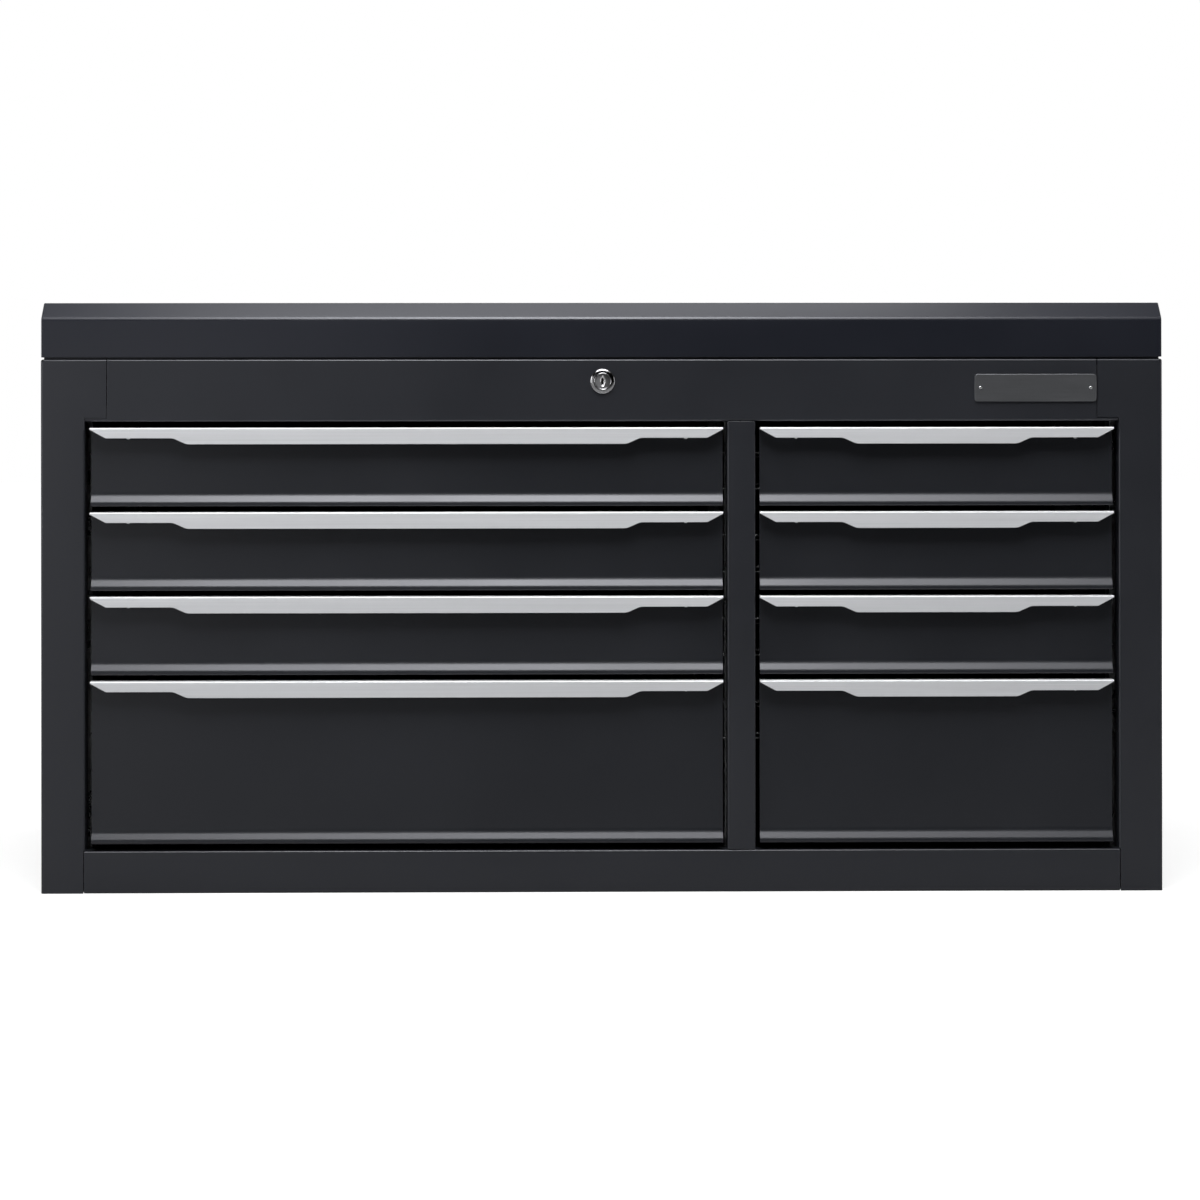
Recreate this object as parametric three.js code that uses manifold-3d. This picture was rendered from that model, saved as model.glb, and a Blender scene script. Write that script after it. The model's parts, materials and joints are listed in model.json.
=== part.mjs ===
// Tool chest: two banks of four drawers under a lidded till, in folded sheet steel.
// Millimetres, +Z up, the front faces -Y. Pieces are laid out from the front plane of the
// frame at y = 0 and from the middle of the width at x = 0, and the finished group is moved
// back so that its origin is the middle of the footprint, on the surface it stands on.

import * as THREE from 'three';
import { mergeVertices } from 'three/addons/utils/BufferGeometryUtils.js';
import Module from 'manifold-3d';

const wasm = await Module();
wasm.setup();

// Whole object
const chest = { width: 1065, depth: 460, height: 560 };

// Clearances shared by all pieces
const fit = {
  seat: 0.3, // between two faces that rest on each other
  seam: 0.7, // open line between two welded panels on the front
  overrun: 2, // how far a cutter passes through what it cuts
  bury: 0.4, // how far two joined bodies reach into each other
};

// Carcass of folded sheet
const carcass = {
  sheet: 1,
  stile: 41.5, // face beside the drawers
  stileFoot: 40, // face beside the bottom rail
  tab: 62, // width of the stile's head beside the top rail
  tabLift: 3.3, // height of the head above the drawer opening
  topRail: 58.9,
  bottomRail: 40,
  post: 26.8,
  rightOpening: 346, // width beside the narrow drawers: the wide ones take the rest
  returnDepth: 20, // folds that run back from the front faces
  rearFold: 20,
};

// Rim of the carcass that nests inside the lid
const rim = { step: 3, rise: 8 };

// Lid
const lid = {
  gap: 2,
  skirt: 36.9,
  chamferRise: 15.1,
  chamferRun: 17,
  inset: 0.5,
  sheet: 1,
};
const brace = { width: 92, crown: 44, height: 11, sheet: 1, endInset: 70 };

// Till floor above the drawers
const till = { lip: 12 };

// Drawers
const drawer = {
  sheet: 0.8,
  topGap: 5.9,
  pitch: 80,
  rowGap: 5.6,
  bottomGap: 6.6,
  stileGap: 5.8,
  postGap: 4.2,
  shallowRows: 3,
  setBack: 5, // face of the front behind the frame's plane
  lip: 3.3,
  bevelRise: 8,
  headFold: 5,
  hem: 9,
  hemRise: 14, // fold of the foot that stands against the tray
  endFold: 9,
  trayLift: 3.5,
  trayDrop: 11, // rim of the tray below the top of the front
  trayHem: 5,
  rearRoom: 38, // between the tray and the fold of the carcass behind it
};

// Pull along the top of each drawer front
const pull = {
  proud: 6,
  plate: 1.8,
  shallow: 9.8,
  deep: 15.5,
  tipTaper: 15,
  shallowRun: 63.6,
  ramp: 12.8,
  bend: 7, // radius where the lower edge changes height
  nose: 1.2, // radius of the top front edge
  clip: 7,
};

// Two-member ball-bearing runners
const runner = {
  side: 12.5, // room between tray and opening on each side
  rearRoom: 36, // between the runner and the fold of the carcass behind it
  height: 36,
  depth: 9.4,
  sheet: 1.2,
  lip: 4,
  innerHeight: 32.4,
  innerSheet: 2,
  neck: 15,
  innerGap: 2.6, // between the inner member and the back of the channel
  dropBelowTop: 42, // centre line below the top of the drawer
  frontGap: 20, // between the folds beside the drawers and the runners
};
const upright = { width: 26, sheet: 1.5, fromEnd: 12 };

// Piano hinge behind the lid
const hinge = {
  knuckleRadius: 4,
  boreRadius: 2.1,
  pinRadius: 1.8,
  knuckles: 13,
  endInset: 24,
  knuckleGap: 0.8,
  leaf: 22,
  leafSheet: 1.2,
  leafClearance: 0.6,
  sides: 12,
};

// Gas struts, with pivots measured forward and up from the hinge axis at rest
const strut = {
  sideInset: 20,
  bodyForward: 40,
  bodyUp: -32,
  lidForward: 260,
  lidUp: 20,
  tubeRadius: 8,
  rodRadius: 4,
  boreRadius: 4.5,
  rodShow: 16,
  rodLength: 148,
  eyeRadius: 8,
  eyeWidth: 8,
  studRadius: 4,
  studClearance: 0.3,
  fitting: 12,
  fittingNeck: 3.8,
  plate: 1.5,
  plateWidth: 30,
  plateHeight: 20,
  sides: 16,
};

// Cam lock in the top rail
const lock = {
  drop: 21, // axis below the top of the carcass
  bezelRadius: 12,
  bezelProud: 3,
  bezelChamfer: 1.4,
  barrelRadius: 9.4,
  barrelDepth: 19,
  plugRadius: 8,
  plugProud: 2,
  plugDepth: 21,
  running: 0.25,
  slotWidth: 1.4,
  slotHeight: 6.5,
  slotDepth: 9,
  nutFlats: 24,
  nutDepth: 4,
  tail: 6,
  tailDepth: 7,
  camWidth: 10,
  camReach: 18,
  camSheet: 2.2,
  sides: 32,
};

// Strike that hangs from the lid and is caught by the lock's cam
const strike = {
  from: 12,
  plateFrom: 16,
  to: 36,
  sheet: 1.5,
  ahead: 1.8, // plate in front of the cam
  ledge: 12,
  under: 2, // ledge below the cam when locked
  flange: 26,
};

// Plain plate at the right end of the top rail, beside the head of the stile
const plate = { endGap: 1, down: 27.5, width: 116, height: 26, thickness: 1.4, corner: 3 };

// Levels and places that follow from the sizes above
const half = chest.width / 2;
const bodyTop = chest.height - lid.gap - lid.skirt - lid.chamferRise;
const openingTop = bodyTop - carcass.topRail;
const openingBottom = carcass.bottomRail;
const tabBottom = openingTop + carcass.tabLift;
const floorBottom = carcass.sheet + fit.seat;
const floorTop = floorBottom + carcass.sheet;
const tillBottom = openingTop + carcass.sheet + fit.seat;
const tillTop = tillBottom + carcass.sheet;
const backInner = chest.depth - carcass.sheet;
const foldInner = backInner - fit.seat - carcass.sheet;
const lidBottom = bodyTop + lid.gap;
const lidShoulder = lidBottom + lid.skirt;
const hingeY = chest.depth + fit.seat + hinge.knuckleRadius;
const hingeZ = bodyTop + lid.gap / 2;
const rightPostX = half - carcass.stile - carcass.rightOpening;
const leftPostX = rightPostX - carcass.post;
const postX = (leftPostX + rightPostX) / 2;
const banks = [
  { name: 'left', from: -half + carcass.stile, to: leftPostX, gaps: [drawer.stileGap, drawer.postGap] },
  { name: 'right', from: rightPostX, to: half - carcass.stile, gaps: [drawer.postGap, drawer.stileGap] },
];
const trayFront = drawer.setBack + drawer.hem + fit.seat;
const trayBack = foldInner - drawer.rearRoom;
const runnerFront = carcass.returnDepth + runner.frontGap;
const runnerBack = foldInner - runner.rearRoom;

// Colours, roughness and metalness
function material(color, roughness, metalness) {
  return new THREE.MeshStandardMaterial({ color, roughness, metalness });
}
const paint = material(0x303235, 0.45, 0.1);
const facePaint = material(0x2a2c2f, 0.4, 0.1);
const satin = material(0xc4c6c7, 0.38, 0.9);
const chrome = material(0xd8d9da, 0.15, 1);
const zinc = material(0x9da1a4, 0.35, 0.9);
const black = material(0x151617, 0.3, 0.2);
const plateFinish = material(0x3c3f42, 0.35, 0.8);

// A closed mesh becomes a solid that can be joined and cut
function solid(geometry) {
  geometry.deleteAttribute('normal');
  geometry.deleteAttribute('uv');
  const merged = mergeVertices(geometry, 1e-4);
  const mesh = new wasm.Mesh({
    numProp: 3,
    vertProperties: new Float32Array(merged.attributes.position.array),
    triVerts: new Uint32Array(merged.index.array),
  });
  return new wasm.Manifold(mesh);
}

function join(...parts) {
  return parts.flat().reduce((whole, part) => whole.add(part));
}

function box(xs, ys, zs) {
  const spans = [xs, ys, zs].map(([a, b]) => Math.abs(b - a));
  const geometry = new THREE.BoxGeometry(...spans);
  geometry.translate(...[xs, ys, zs].map(([a, b]) => (a + b) / 2));
  return solid(geometry);
}

// An outline swept along one axis. Its points are (y, z) along X, (x, z) along Y, (x, y) along Z.
const sweeps = {
  x: { across: new THREE.Vector3(0, 1, 0), up: new THREE.Vector3(0, 0, 1) },
  y: { across: new THREE.Vector3(1, 0, 0), up: new THREE.Vector3(0, 0, 1) },
  z: { across: new THREE.Vector3(1, 0, 0), up: new THREE.Vector3(0, 1, 0) },
};
function sweep(axis, outline, [a, b]) {
  const shape = new THREE.Shape(outline.map(([u, v]) => new THREE.Vector2(u, v)));
  const geometry = new THREE.ExtrudeGeometry(shape, { depth: Math.abs(b - a), bevelEnabled: false });
  const { across, up } = sweeps[axis];
  const along = across.clone().cross(up);
  const backwards = along.x + along.y + along.z < 0;
  const start = backwards ? Math.max(a, b) : Math.min(a, b);
  geometry.applyMatrix4(new THREE.Matrix4().makeBasis(across, up, along));
  geometry.translate(...along.toArray().map((part) => Math.abs(part) * start));
  return solid(geometry);
}

// A round bar or tube along one axis, through (u, v) in the plane across it
function round(axis, [u, v], radius, span, sides) {
  const outline = Array.from({ length: sides }, (_, i) => {
    const turn = (i / sides) * 2 * Math.PI;
    return [u + radius * Math.cos(turn), v + radius * Math.sin(turn)];
  });
  return sweep(axis, outline, span);
}

// Folded sheet seen from its end: the outer line, and the same line moved inwards by its thickness
function folded(line, thickness) {
  const normals = line.slice(1).map(([u, v], i) => {
    const [du, dv] = [u - line[i][0], v - line[i][1]];
    const length = Math.hypot(du, dv);
    return [-dv / length, du / length];
  });
  const inner = line.map(([u, v], i) => {
    const before = normals[Math.max(i - 1, 0)];
    const after = normals[Math.min(i, normals.length - 1)];
    const bend = 1 + before[0] * after[0] + before[1] * after[1];
    return [
      u + (thickness * (before[0] + after[0])) / bend,
      v + (thickness * (before[1] + after[1])) / bend,
    ];
  });
  return [...line, ...inner.reverse()];
}

// The outline with each corner that has a radius turned into a short arc
function rounded(points, steps) {
  return points.flatMap(([u, v, radius], i) => {
    if (!radius) return [[u, v]];
    const corner = new THREE.Vector2(u, v);
    const last = new THREE.Vector2(...points.at(i - 1).slice(0, 2)).sub(corner).normalize();
    const next = new THREE.Vector2(...points[(i + 1) % points.length].slice(0, 2)).sub(corner).normalize();
    const halfAngle = Math.acos(THREE.MathUtils.clamp(last.dot(next), -1, 1)) / 2;
    const reach = radius / Math.tan(halfAngle);
    const curve = new THREE.QuadraticBezierCurve(
      corner.clone().addScaledVector(last, reach),
      corner,
      corner.clone().addScaledVector(next, reach),
    );
    return curve.getPoints(steps).map((point) => [point.x, point.y]);
  });
}

const group = new THREE.Group();
group.name = 'tool_chest';

function piece(name, shape, finish, parent = group) {
  const { vertProperties, triVerts } = shape.getMesh();
  const geometry = new THREE.BufferGeometry();
  geometry.setAttribute('position', new THREE.BufferAttribute(vertProperties, 3));
  geometry.setIndex(new THREE.BufferAttribute(triVerts, 1));
  const flat = geometry.toNonIndexed();
  flat.computeVertexNormals();
  const mesh = new THREE.Mesh(flat, finish);
  mesh.name = name;
  parent.add(mesh);
  return mesh;
}

const sides = [
  { name: 'left', sign: -1 },
  { name: 'right', sign: 1 },
];

// Place on the X axis, measured inwards from the outer face of one side
const inFrom = (side, distance) => side.sign * (half - distance);
const spanIn = (side, a, b) => [inFrom(side, a), inFrom(side, b)];

// Side wall, front stile and its head, rim and rear fold, folded from one sheet
function sidePanel(side) {
  const { sheet, stile, stileFoot, tab, returnDepth, rearFold } = carcass;
  const stepTop = [bodyTop - sheet, bodyTop];
  const riseTop = [bodyTop - sheet, bodyTop + rim.rise];
  const face = [
    [0, 0],
    [stileFoot, 0],
    [stileFoot, openingBottom + fit.seat],
    [stile, openingBottom + fit.seat],
    [stile, tabBottom],
    [tab, tabBottom],
    [tab, bodyTop],
    [0, bodyTop],
  ].map(([x, z]) => [inFrom(side, x), z]);
  return join(
    box(spanIn(side, 0, sheet), [0, chest.depth], [0, bodyTop]),
    sweep('y', face, [0, sheet]),
    box(
      spanIn(side, stile - sheet, stile),
      [0, returnDepth],
      [openingBottom + fit.seat, openingTop - fit.seat],
    ),
    box(spanIn(side, 0, rim.step + sheet), [0, chest.depth], stepTop),
    box(spanIn(side, rim.step, rim.step + sheet), [rim.step, chest.depth - rim.step], riseTop),
    box(spanIn(side, 0, tab), [0, rim.step + sheet], stepTop),
    box(spanIn(side, rim.step, tab), [rim.step, rim.step + sheet], riseTop),
    box(spanIn(side, 0, rearFold), [0, chest.depth], [0, sheet]),
    box(spanIn(side, 0, rearFold), [foldInner, foldInner + sheet], [0, openingTop - fit.seat]),
  );
}

function backPanel() {
  const { sheet, rearFold } = carcass;
  const wide = half - sheet - fit.seat;
  const between = half - rim.step - sheet - fit.seat;
  const low = half - rearFold - fit.seat;
  const inner = chest.depth - rim.step - sheet;
  const wall = join(
    box([-wide, wide], [backInner, chest.depth], [0, bodyTop]),
    box([-between, between], [inner, chest.depth], [bodyTop - sheet, bodyTop]),
    box([-between, between], [inner, inner + sheet], [bodyTop - sheet, bodyTop + rim.rise]),
    box([-low, low], [chest.depth - rearFold, chest.depth], [0, sheet]),
  );
  // The wall stops short where the side panels' rim runs over it
  const corners = sides.map((side) =>
    box(
      spanIn(side, 0, half - between),
      [backInner - fit.overrun, chest.depth + fit.overrun],
      [bodyTop - sheet - fit.seat, bodyTop + fit.overrun],
    ),
  );
  const feet = sides.map((side) =>
    box(
      spanIn(side, 0, half - low),
      [backInner - fit.overrun, chest.depth + fit.overrun],
      [-fit.overrun, sheet + fit.seat],
    ),
  );
  return wall.subtract(join(corners, feet));
}

function bottomPanel() {
  const wide = half - carcass.sheet - fit.seat;
  const front = carcass.sheet + fit.seat;
  return box([-wide, wide], [front, foldInner - fit.seat], [floorBottom, floorTop]);
}

function topRail() {
  const { sheet, stile, tab, returnDepth } = carcass;
  const low = half - stile - fit.seam;
  const high = half - tab - fit.seam;
  const shoulder = tabBottom - fit.seam;
  const face = [
    [-low, openingTop],
    [low, openingTop],
    [low, shoulder],
    [high, shoulder],
    [high, bodyTop],
    [-high, bodyTop],
    [-high, shoulder],
    [-low, shoulder],
  ];
  const whole = join(
    sweep('y', face, [0, sheet]),
    box([-low, low], [0, returnDepth], [openingTop, openingTop + sheet]),
    box([-high, high], [0, rim.step + sheet], [bodyTop - sheet, bodyTop]),
    box([-high, high], [rim.step, rim.step + sheet], [bodyTop - sheet, bodyTop + rim.rise]),
  );
  const radius = lock.barrelRadius + fit.seat;
  const hole = round('y', [0, bodyTop - lock.drop], radius, [-fit.overrun, sheet + fit.overrun], lock.sides);
  return whole.subtract(hole);
}

function bottomRail() {
  const { sheet, stileFoot, returnDepth, bottomRail: height } = carcass;
  const wide = half - stileFoot - fit.seam;
  const line = [
    [returnDepth, 0],
    [0, 0],
    [0, height],
    [returnDepth, height],
  ];
  return sweep('x', folded(line.reverse(), sheet), [-wide, wide]);
}

function centerPost() {
  const { sheet, returnDepth } = carcass;
  const line = [
    [leftPostX, returnDepth],
    [leftPostX, 0],
    [rightPostX, 0],
    [rightPostX, returnDepth],
  ];
  return sweep('z', folded(line, sheet), [openingBottom + fit.seat, openingTop - fit.seat]);
}

function centerPartition() {
  const thin = carcass.sheet / 2;
  const front = carcass.returnDepth + fit.seat;
  return box(
    [postX - thin, postX + thin],
    [front, backInner - fit.seat],
    [floorTop + fit.seat, tillBottom - fit.seat],
  );
}

function tillFloor() {
  const { sheet } = carcass;
  const wide = half - sheet - fit.seat;
  const front = sheet + fit.seat;
  const back = backInner - fit.seat;
  const pan = box([-wide, wide], [front, back], [tillBottom, tillTop + till.lip]);
  const inside = box(
    [-wide + sheet, wide - sheet],
    [front + sheet, back - sheet],
    [tillTop, tillTop + till.lip + fit.overrun],
  );
  return pan.subtract(inside);
}

// Top of the drawer front in each row, and its foot
const rowTop = (row) => openingTop - drawer.topGap - row * drawer.pitch;
const rowFoot = (row) =>
  row < drawer.shallowRows ? rowTop(row + 1) + drawer.rowGap : openingBottom + drawer.bottomGap;
const rows = Array.from({ length: drawer.shallowRows + 1 }, (_, row) => row);
const runnerZ = (row) => rowTop(row) - runner.dropBelowTop;

// Two uprights and the outer member of each runner, riveted into one frame.
// The face at x = edge looks into the drawer opening, in the direction of sign.
function runnerRack(edge, carrier, sign) {
  const { sheet } = upright;
  const posts = [
    runnerFront + upright.fromEnd,
    runnerBack - upright.fromEnd - upright.width,
  ].map((front) => {
    const line = [
      [carrier, front],
      [edge, front],
      [edge, front + upright.width],
      [carrier, front + upright.width],
    ];
    const outline = folded(sign > 0 ? line : line.reverse(), sheet);
    return sweep('z', outline, [floorTop + fit.seat, tillBottom - fit.seat]);
  });
  const channels = rows.map((row) => {
    const back = edge - sign * fit.bury;
    const mouth = edge + sign * runner.depth;
    const low = runnerZ(row) - runner.height / 2;
    const high = runnerZ(row) + runner.height / 2;
    const line = [
      [mouth, low + runner.lip],
      [mouth, low],
      [back, low],
      [back, high],
      [mouth, high],
      [mouth, high - runner.lip],
    ];
    const outline = folded(sign > 0 ? line.reverse() : line, runner.sheet);
    return sweep('y', outline, [runnerFront, runnerBack]);
  });
  return join(posts, channels);
}

// Tray with the inner member of each runner on its sides
function drawerTray(bank, row) {
  const { sheet, trayHem } = drawer;
  const left = bank.from + runner.side;
  const right = bank.to - runner.side;
  const [front, back] = [trayFront, trayBack];
  const low = rowFoot(row) + drawer.trayLift;
  const high = rowTop(row) - drawer.trayDrop;
  const outer = box([left, right], [front, back], [low, high]);
  const cavity = box(
    [left + sheet, right - sheet],
    [front + sheet, back - sheet],
    [low + sheet, high + fit.overrun],
  );
  // The rim is folded outwards over the front and back walls and inwards along the sides
  const hems = [
    [[left, left + trayHem], [front, back]],
    [[right - trayHem, right], [front, back]],
  ].map(([xs, ys]) => box(xs, ys, [high - sheet, high]));
  const members = [
    { wall: left, sign: -1 },
    { wall: right, sign: 1 },
  ].map(({ wall, sign }) => {
    const edge = wall + sign * runner.side;
    const far = edge - sign * runner.innerGap;
    const near = far - sign * runner.innerSheet;
    const [mid, tall, neck] = [runnerZ(row), runner.innerHeight / 2, runner.neck / 2];
    const outline = [
      [wall - sign * fit.bury, mid - neck],
      [near, mid - neck],
      [near, mid - tall],
      [far, mid - tall],
      [far, mid + tall],
      [near, mid + tall],
      [near, mid + neck],
      [wall - sign * fit.bury, mid + neck],
    ];
    return sweep('y', outline, [runnerFront, trayBack]);
  });
  return join(outer.subtract(cavity), hems, members);
}

// Drawer front of folded sheet: recessed face, bevelled foot, lip and hems
function drawerFront(bank, row) {
  const { sheet, setBack, lip, bevelRise, hem, hemRise, endFold, headFold } = drawer;
  const left = bank.from + bank.gaps[0];
  const right = bank.to - bank.gaps[1];
  const foot = rowFoot(row);
  const head = rowTop(row) - pull.plate - fit.seat;
  const line = [
    [setBack + headFold, head],
    [setBack, head],
    [setBack, foot + lip + bevelRise],
    [0, foot + lip],
    [0, foot],
    [setBack + hem, foot],
    [setBack + hem, foot + hemRise],
  ];
  const skin = sweep('x', folded(line, sheet), [left, right]);
  const underClip = rowTop(row) - pull.clip - fit.seat;
  const ends = [
    [left, left + sheet],
    [right - sheet, right],
  ].map((span) => {
    const outline = [
      [setBack, head],
      [setBack, foot + lip + bevelRise],
      [0, foot + lip],
      [0, foot],
      [setBack + endFold, foot],
      [setBack + endFold, underClip],
      [setBack + headFold, underClip],
      [setBack + headFold, head],
    ];
    return sweep('x', outline, span);
  });
  return join(skin, ends);
}

// Pull: a plate that hangs in front of the drawer, deeper in the middle, with a web and a clip behind
function drawerPull(bank, row) {
  const left = bank.from + bank.gaps[0];
  const right = bank.to - bank.gaps[1];
  const top = rowTop(row);
  const { shallow, deep, tipTaper, shallowRun, ramp, bend } = pull;
  const halfway = (side) => (along, down, radius) => [
    side > 0 ? left + along : right - along,
    top - down,
    radius,
  ];
  const rampStart = tipTaper + shallowRun;
  const edge = (side) => {
    const at = halfway(side);
    return [
      at(0, 0),
      at(0, pull.plate),
      at(tipTaper, shallow, bend / 2),
      at(rampStart, shallow, bend),
      at(rampStart + ramp, deep, bend),
    ];
  };
  const outline = rounded([...edge(1), ...edge(-1).reverse()], 3);
  const front = -pull.proud;
  const clipBack = drawer.setBack + drawer.headFold + fit.seat + pull.plate;
  const hanging = sweep('y', outline, [front, front + pull.plate]);
  const web = box([left, right], [front, clipBack], [top - pull.plate, top]);
  const clip = box([left, right], [clipBack - pull.plate, clipBack], [top - pull.clip, top]);
  const noseCut = [
    [front - fit.overrun, top + fit.overrun],
    [front - fit.overrun, top - pull.nose],
    [front, top - pull.nose],
    [front + pull.nose, top],
    [front + pull.nose, top + fit.overrun],
  ];
  const cut = sweep('x', noseCut, [left - fit.overrun, right + fit.overrun]);
  return join(hanging, web, clip).subtract(cut);
}

// Lid: one folded shell, open below, with a chamfer along its front
function lidShell() {
  const wide = half - lid.inset;
  const outline = (inset) => [
    [inset, inset ? lidBottom - fit.overrun : lidBottom],
    [inset, lidShoulder - inset * lidSlope],
    [lid.chamferRun + inset * lidSlope, chest.height - inset],
    [chest.depth - inset, chest.height - inset],
    [chest.depth - inset, inset ? lidBottom - fit.overrun : lidBottom],
  ];
  const outside = sweep('x', outline(0), [-wide, wide]);
  const inside = sweep('x', outline(lid.sheet), [-wide + lid.sheet, wide - lid.sheet]);
  return outside.subtract(inside);
}
// How far the inner bends lie from the outer ones, as a share of the sheet's thickness
const lidSlope = Math.tan(Math.atan2(lid.chamferRise, lid.chamferRun) / 2);

// Hat-shaped brace under the top of the lid
function lidBrace() {
  const middle = chest.depth / 2;
  const top = chest.height - lid.sheet - fit.seat;
  const { width, crown, height, sheet } = brace;
  const line = [
    [middle - width / 2, top],
    [middle - crown / 2, top],
    [middle - crown / 2 + height / 2, top - height],
    [middle + crown / 2 - height / 2, top - height],
    [middle + crown / 2, top],
    [middle + width / 2, top],
  ];
  const wide = half - brace.endInset;
  return sweep('x', folded(line.reverse(), sheet), [-wide, wide]);
}

// Piano hinge: the body's leaf carries the odd knuckles and the lid's leaf the even ones
const hingeHalf = half - hinge.endInset;
const knucklePitch = (2 * hingeHalf) / hinge.knuckles;
function hingeLeaf(parity, up) {
  const { knuckleRadius, leafSheet, leafClearance, sides: facets } = hinge;
  const near = chest.depth + fit.seat;
  const ys = [near, near + leafSheet];
  const edge = hingeZ + up * (knuckleRadius + leafClearance);
  const leaf = box([-hingeHalf, hingeHalf], ys, [edge, hingeZ + up * hinge.leaf]);
  const mine = Array.from({ length: hinge.knuckles }, (_, i) => i).filter((i) => i % 2 === parity);
  const spans = mine.map((i) => {
    const start = -hingeHalf + i * knucklePitch;
    return [start + hinge.knuckleGap / 2, start + knucklePitch - hinge.knuckleGap / 2];
  });
  const rolls = spans.flatMap((span) => [
    round('x', [hingeY, hingeZ], knuckleRadius, span, facets),
    box(span, ys, [hingeZ, edge + up * fit.bury]),
  ]);
  const bore = round(
    'x',
    [hingeY, hingeZ],
    hinge.boreRadius,
    [-hingeHalf - fit.overrun, hingeHalf + fit.overrun],
    facets,
  );
  return join(leaf, rolls).subtract(bore);
}

function hingePin() {
  return round('x', [hingeY, hingeZ], hinge.pinRadius, [-hingeHalf, hingeHalf], hinge.sides);
}

// Pivots of the gas struts
const bodyPivot = [hingeY - strut.bodyForward, hingeZ + strut.bodyUp];
const lidPivot = [hingeY - strut.lidForward, hingeZ + strut.lidUp];
const closedLength = Math.hypot(lidPivot[0] - bodyPivot[0], lidPivot[1] - bodyPivot[1]);
const closedTilt = Math.atan2(lidPivot[1] - bodyPivot[1], bodyPivot[0] - lidPivot[0]);

function strutBracket(side, pivot, wallFace, studEnd) {
  const { plateWidth, plateHeight, studRadius } = strut;
  const back = wallFace + fit.seat;
  const front = back + strut.plate;
  const base = box(
    spanIn(side, back, front),
    [pivot[0] - plateWidth / 2, pivot[0] + plateWidth / 2],
    [pivot[1] - plateHeight / 2, pivot[1] + plateHeight / 2],
  );
  const stud = round('x', pivot, studRadius, spanIn(side, front - fit.bury, studEnd), strut.sides);
  return join(base, stud);
}

// A strut lies along +Y of its own group, from the body pivot at the group's origin
function strutGroup(side) {
  const holder = new THREE.Group();
  holder.position.set(inFrom(side, strut.sideInset), bodyPivot[0], bodyPivot[1]);
  holder.rotation.x = Math.PI - closedTilt;
  group.add(holder);
  return holder;
}

function strutRod() {
  const { eyeRadius, eyeWidth, rodRadius, rodLength, studRadius, studClearance, sides: facets } = strut;
  const span = [-eyeWidth / 2, eyeWidth / 2];
  const eye = round('x', [0, 0], eyeRadius, span, facets);
  const rod = round('y', [0, 0], rodRadius, [eyeRadius / 2, rodLength], facets);
  const wide = [-eyeWidth / 2 - fit.overrun, eyeWidth / 2 + fit.overrun];
  return join(eye, rod).subtract(round('x', [0, 0], studRadius + studClearance, wide, facets));
}

function strutTube() {
  const { tubeRadius, boreRadius, rodShow, rodLength, fitting, fittingNeck, eyeRadius, sides: facets } = strut;
  const mouth = eyeRadius + rodShow;
  const end = closedLength - fitting - eyeRadius / 2;
  const tube = round('y', [0, 0], tubeRadius, [mouth, end], facets);
  const neck = round('y', [0, 0], fittingNeck, [end - fit.bury, closedLength], facets);
  const socket = round('x', [closedLength, 0], eyeRadius, [-strut.eyeWidth / 2, strut.eyeWidth / 2], facets);
  const reach = rodLength + fitting;
  const bore = round('y', [0, 0], boreRadius, [mouth - fit.overrun, reach], facets);
  return join(tube, neck, socket).subtract(bore);
}

// Lock pieces turn about an axis along Y
const lockZ = bodyTop - lock.drop;
const camFront = lock.plugDepth + fit.seat;

function turned(profile, facets) {
  const points = profile.map(([r, y]) => new THREE.Vector2(r, y));
  const geometry = new THREE.LatheGeometry(points, facets);
  geometry.translate(0, 0, lockZ);
  return solid(geometry);
}

function lockBarrel() {
  const bore = lock.plugRadius + lock.running;
  const { bezelRadius, bezelProud, bezelChamfer, barrelRadius, barrelDepth } = lock;
  const ring = [
    [bore, -bezelProud],
    [bezelRadius - bezelChamfer, -bezelProud],
    [bezelRadius, -bezelProud + bezelChamfer],
    [bezelRadius, -fit.seat],
    [barrelRadius, -fit.seat],
    [barrelRadius, barrelDepth],
    [bore, barrelDepth],
    [bore, -bezelProud],
  ];
  return turned(ring, lock.sides);
}

function lockNut() {
  const { nutFlats, nutDepth, barrelRadius } = lock;
  const start = carcass.sheet + fit.seat;
  const corner = nutFlats / 2 / Math.cos(Math.PI / 6);
  const nut = round('y', [0, lockZ], corner, [start, start + nutDepth], 6);
  const span = [start - fit.overrun, start + nutDepth + fit.overrun];
  return nut.subtract(round('y', [0, lockZ], barrelRadius + fit.seat, span, lock.sides));
}

function lockPlug() {
  const { plugRadius, plugProud, plugDepth, slotWidth, slotHeight, slotDepth, tail, tailDepth } = lock;
  const plug = round('y', [0, lockZ], plugRadius, [-plugProud, plugDepth], lock.sides);
  const end = box(
    [-tail / 2, tail / 2],
    [plugDepth - fit.bury, plugDepth + tailDepth],
    [lockZ - tail / 2, lockZ + tail / 2],
  );
  const slot = box(
    [-slotWidth / 2, slotWidth / 2],
    [-plugProud - fit.overrun, -plugProud + slotDepth],
    [lockZ - slotHeight / 2, lockZ + slotHeight / 2],
  );
  return join(plug, end).subtract(slot);
}

function lockCam() {
  const { camWidth, camReach, camSheet, tail } = lock;
  const across = camWidth / 2;
  const outline = rounded(
    [
      [-across, lockZ - across, across / 2],
      [across, lockZ - across, across / 2],
      [across, lockZ + camReach, across / 2],
      [-across, lockZ + camReach, across / 2],
    ],
    3,
  );
  const span = [camFront, camFront + camSheet];
  const hole = tail / 2 + fit.seat;
  const cut = box(
    [-hole, hole],
    [span[0] - fit.overrun, span[1] + fit.overrun],
    [lockZ - hole, lockZ + hole],
  );
  return sweep('y', outline, span).subtract(cut);
}

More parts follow.
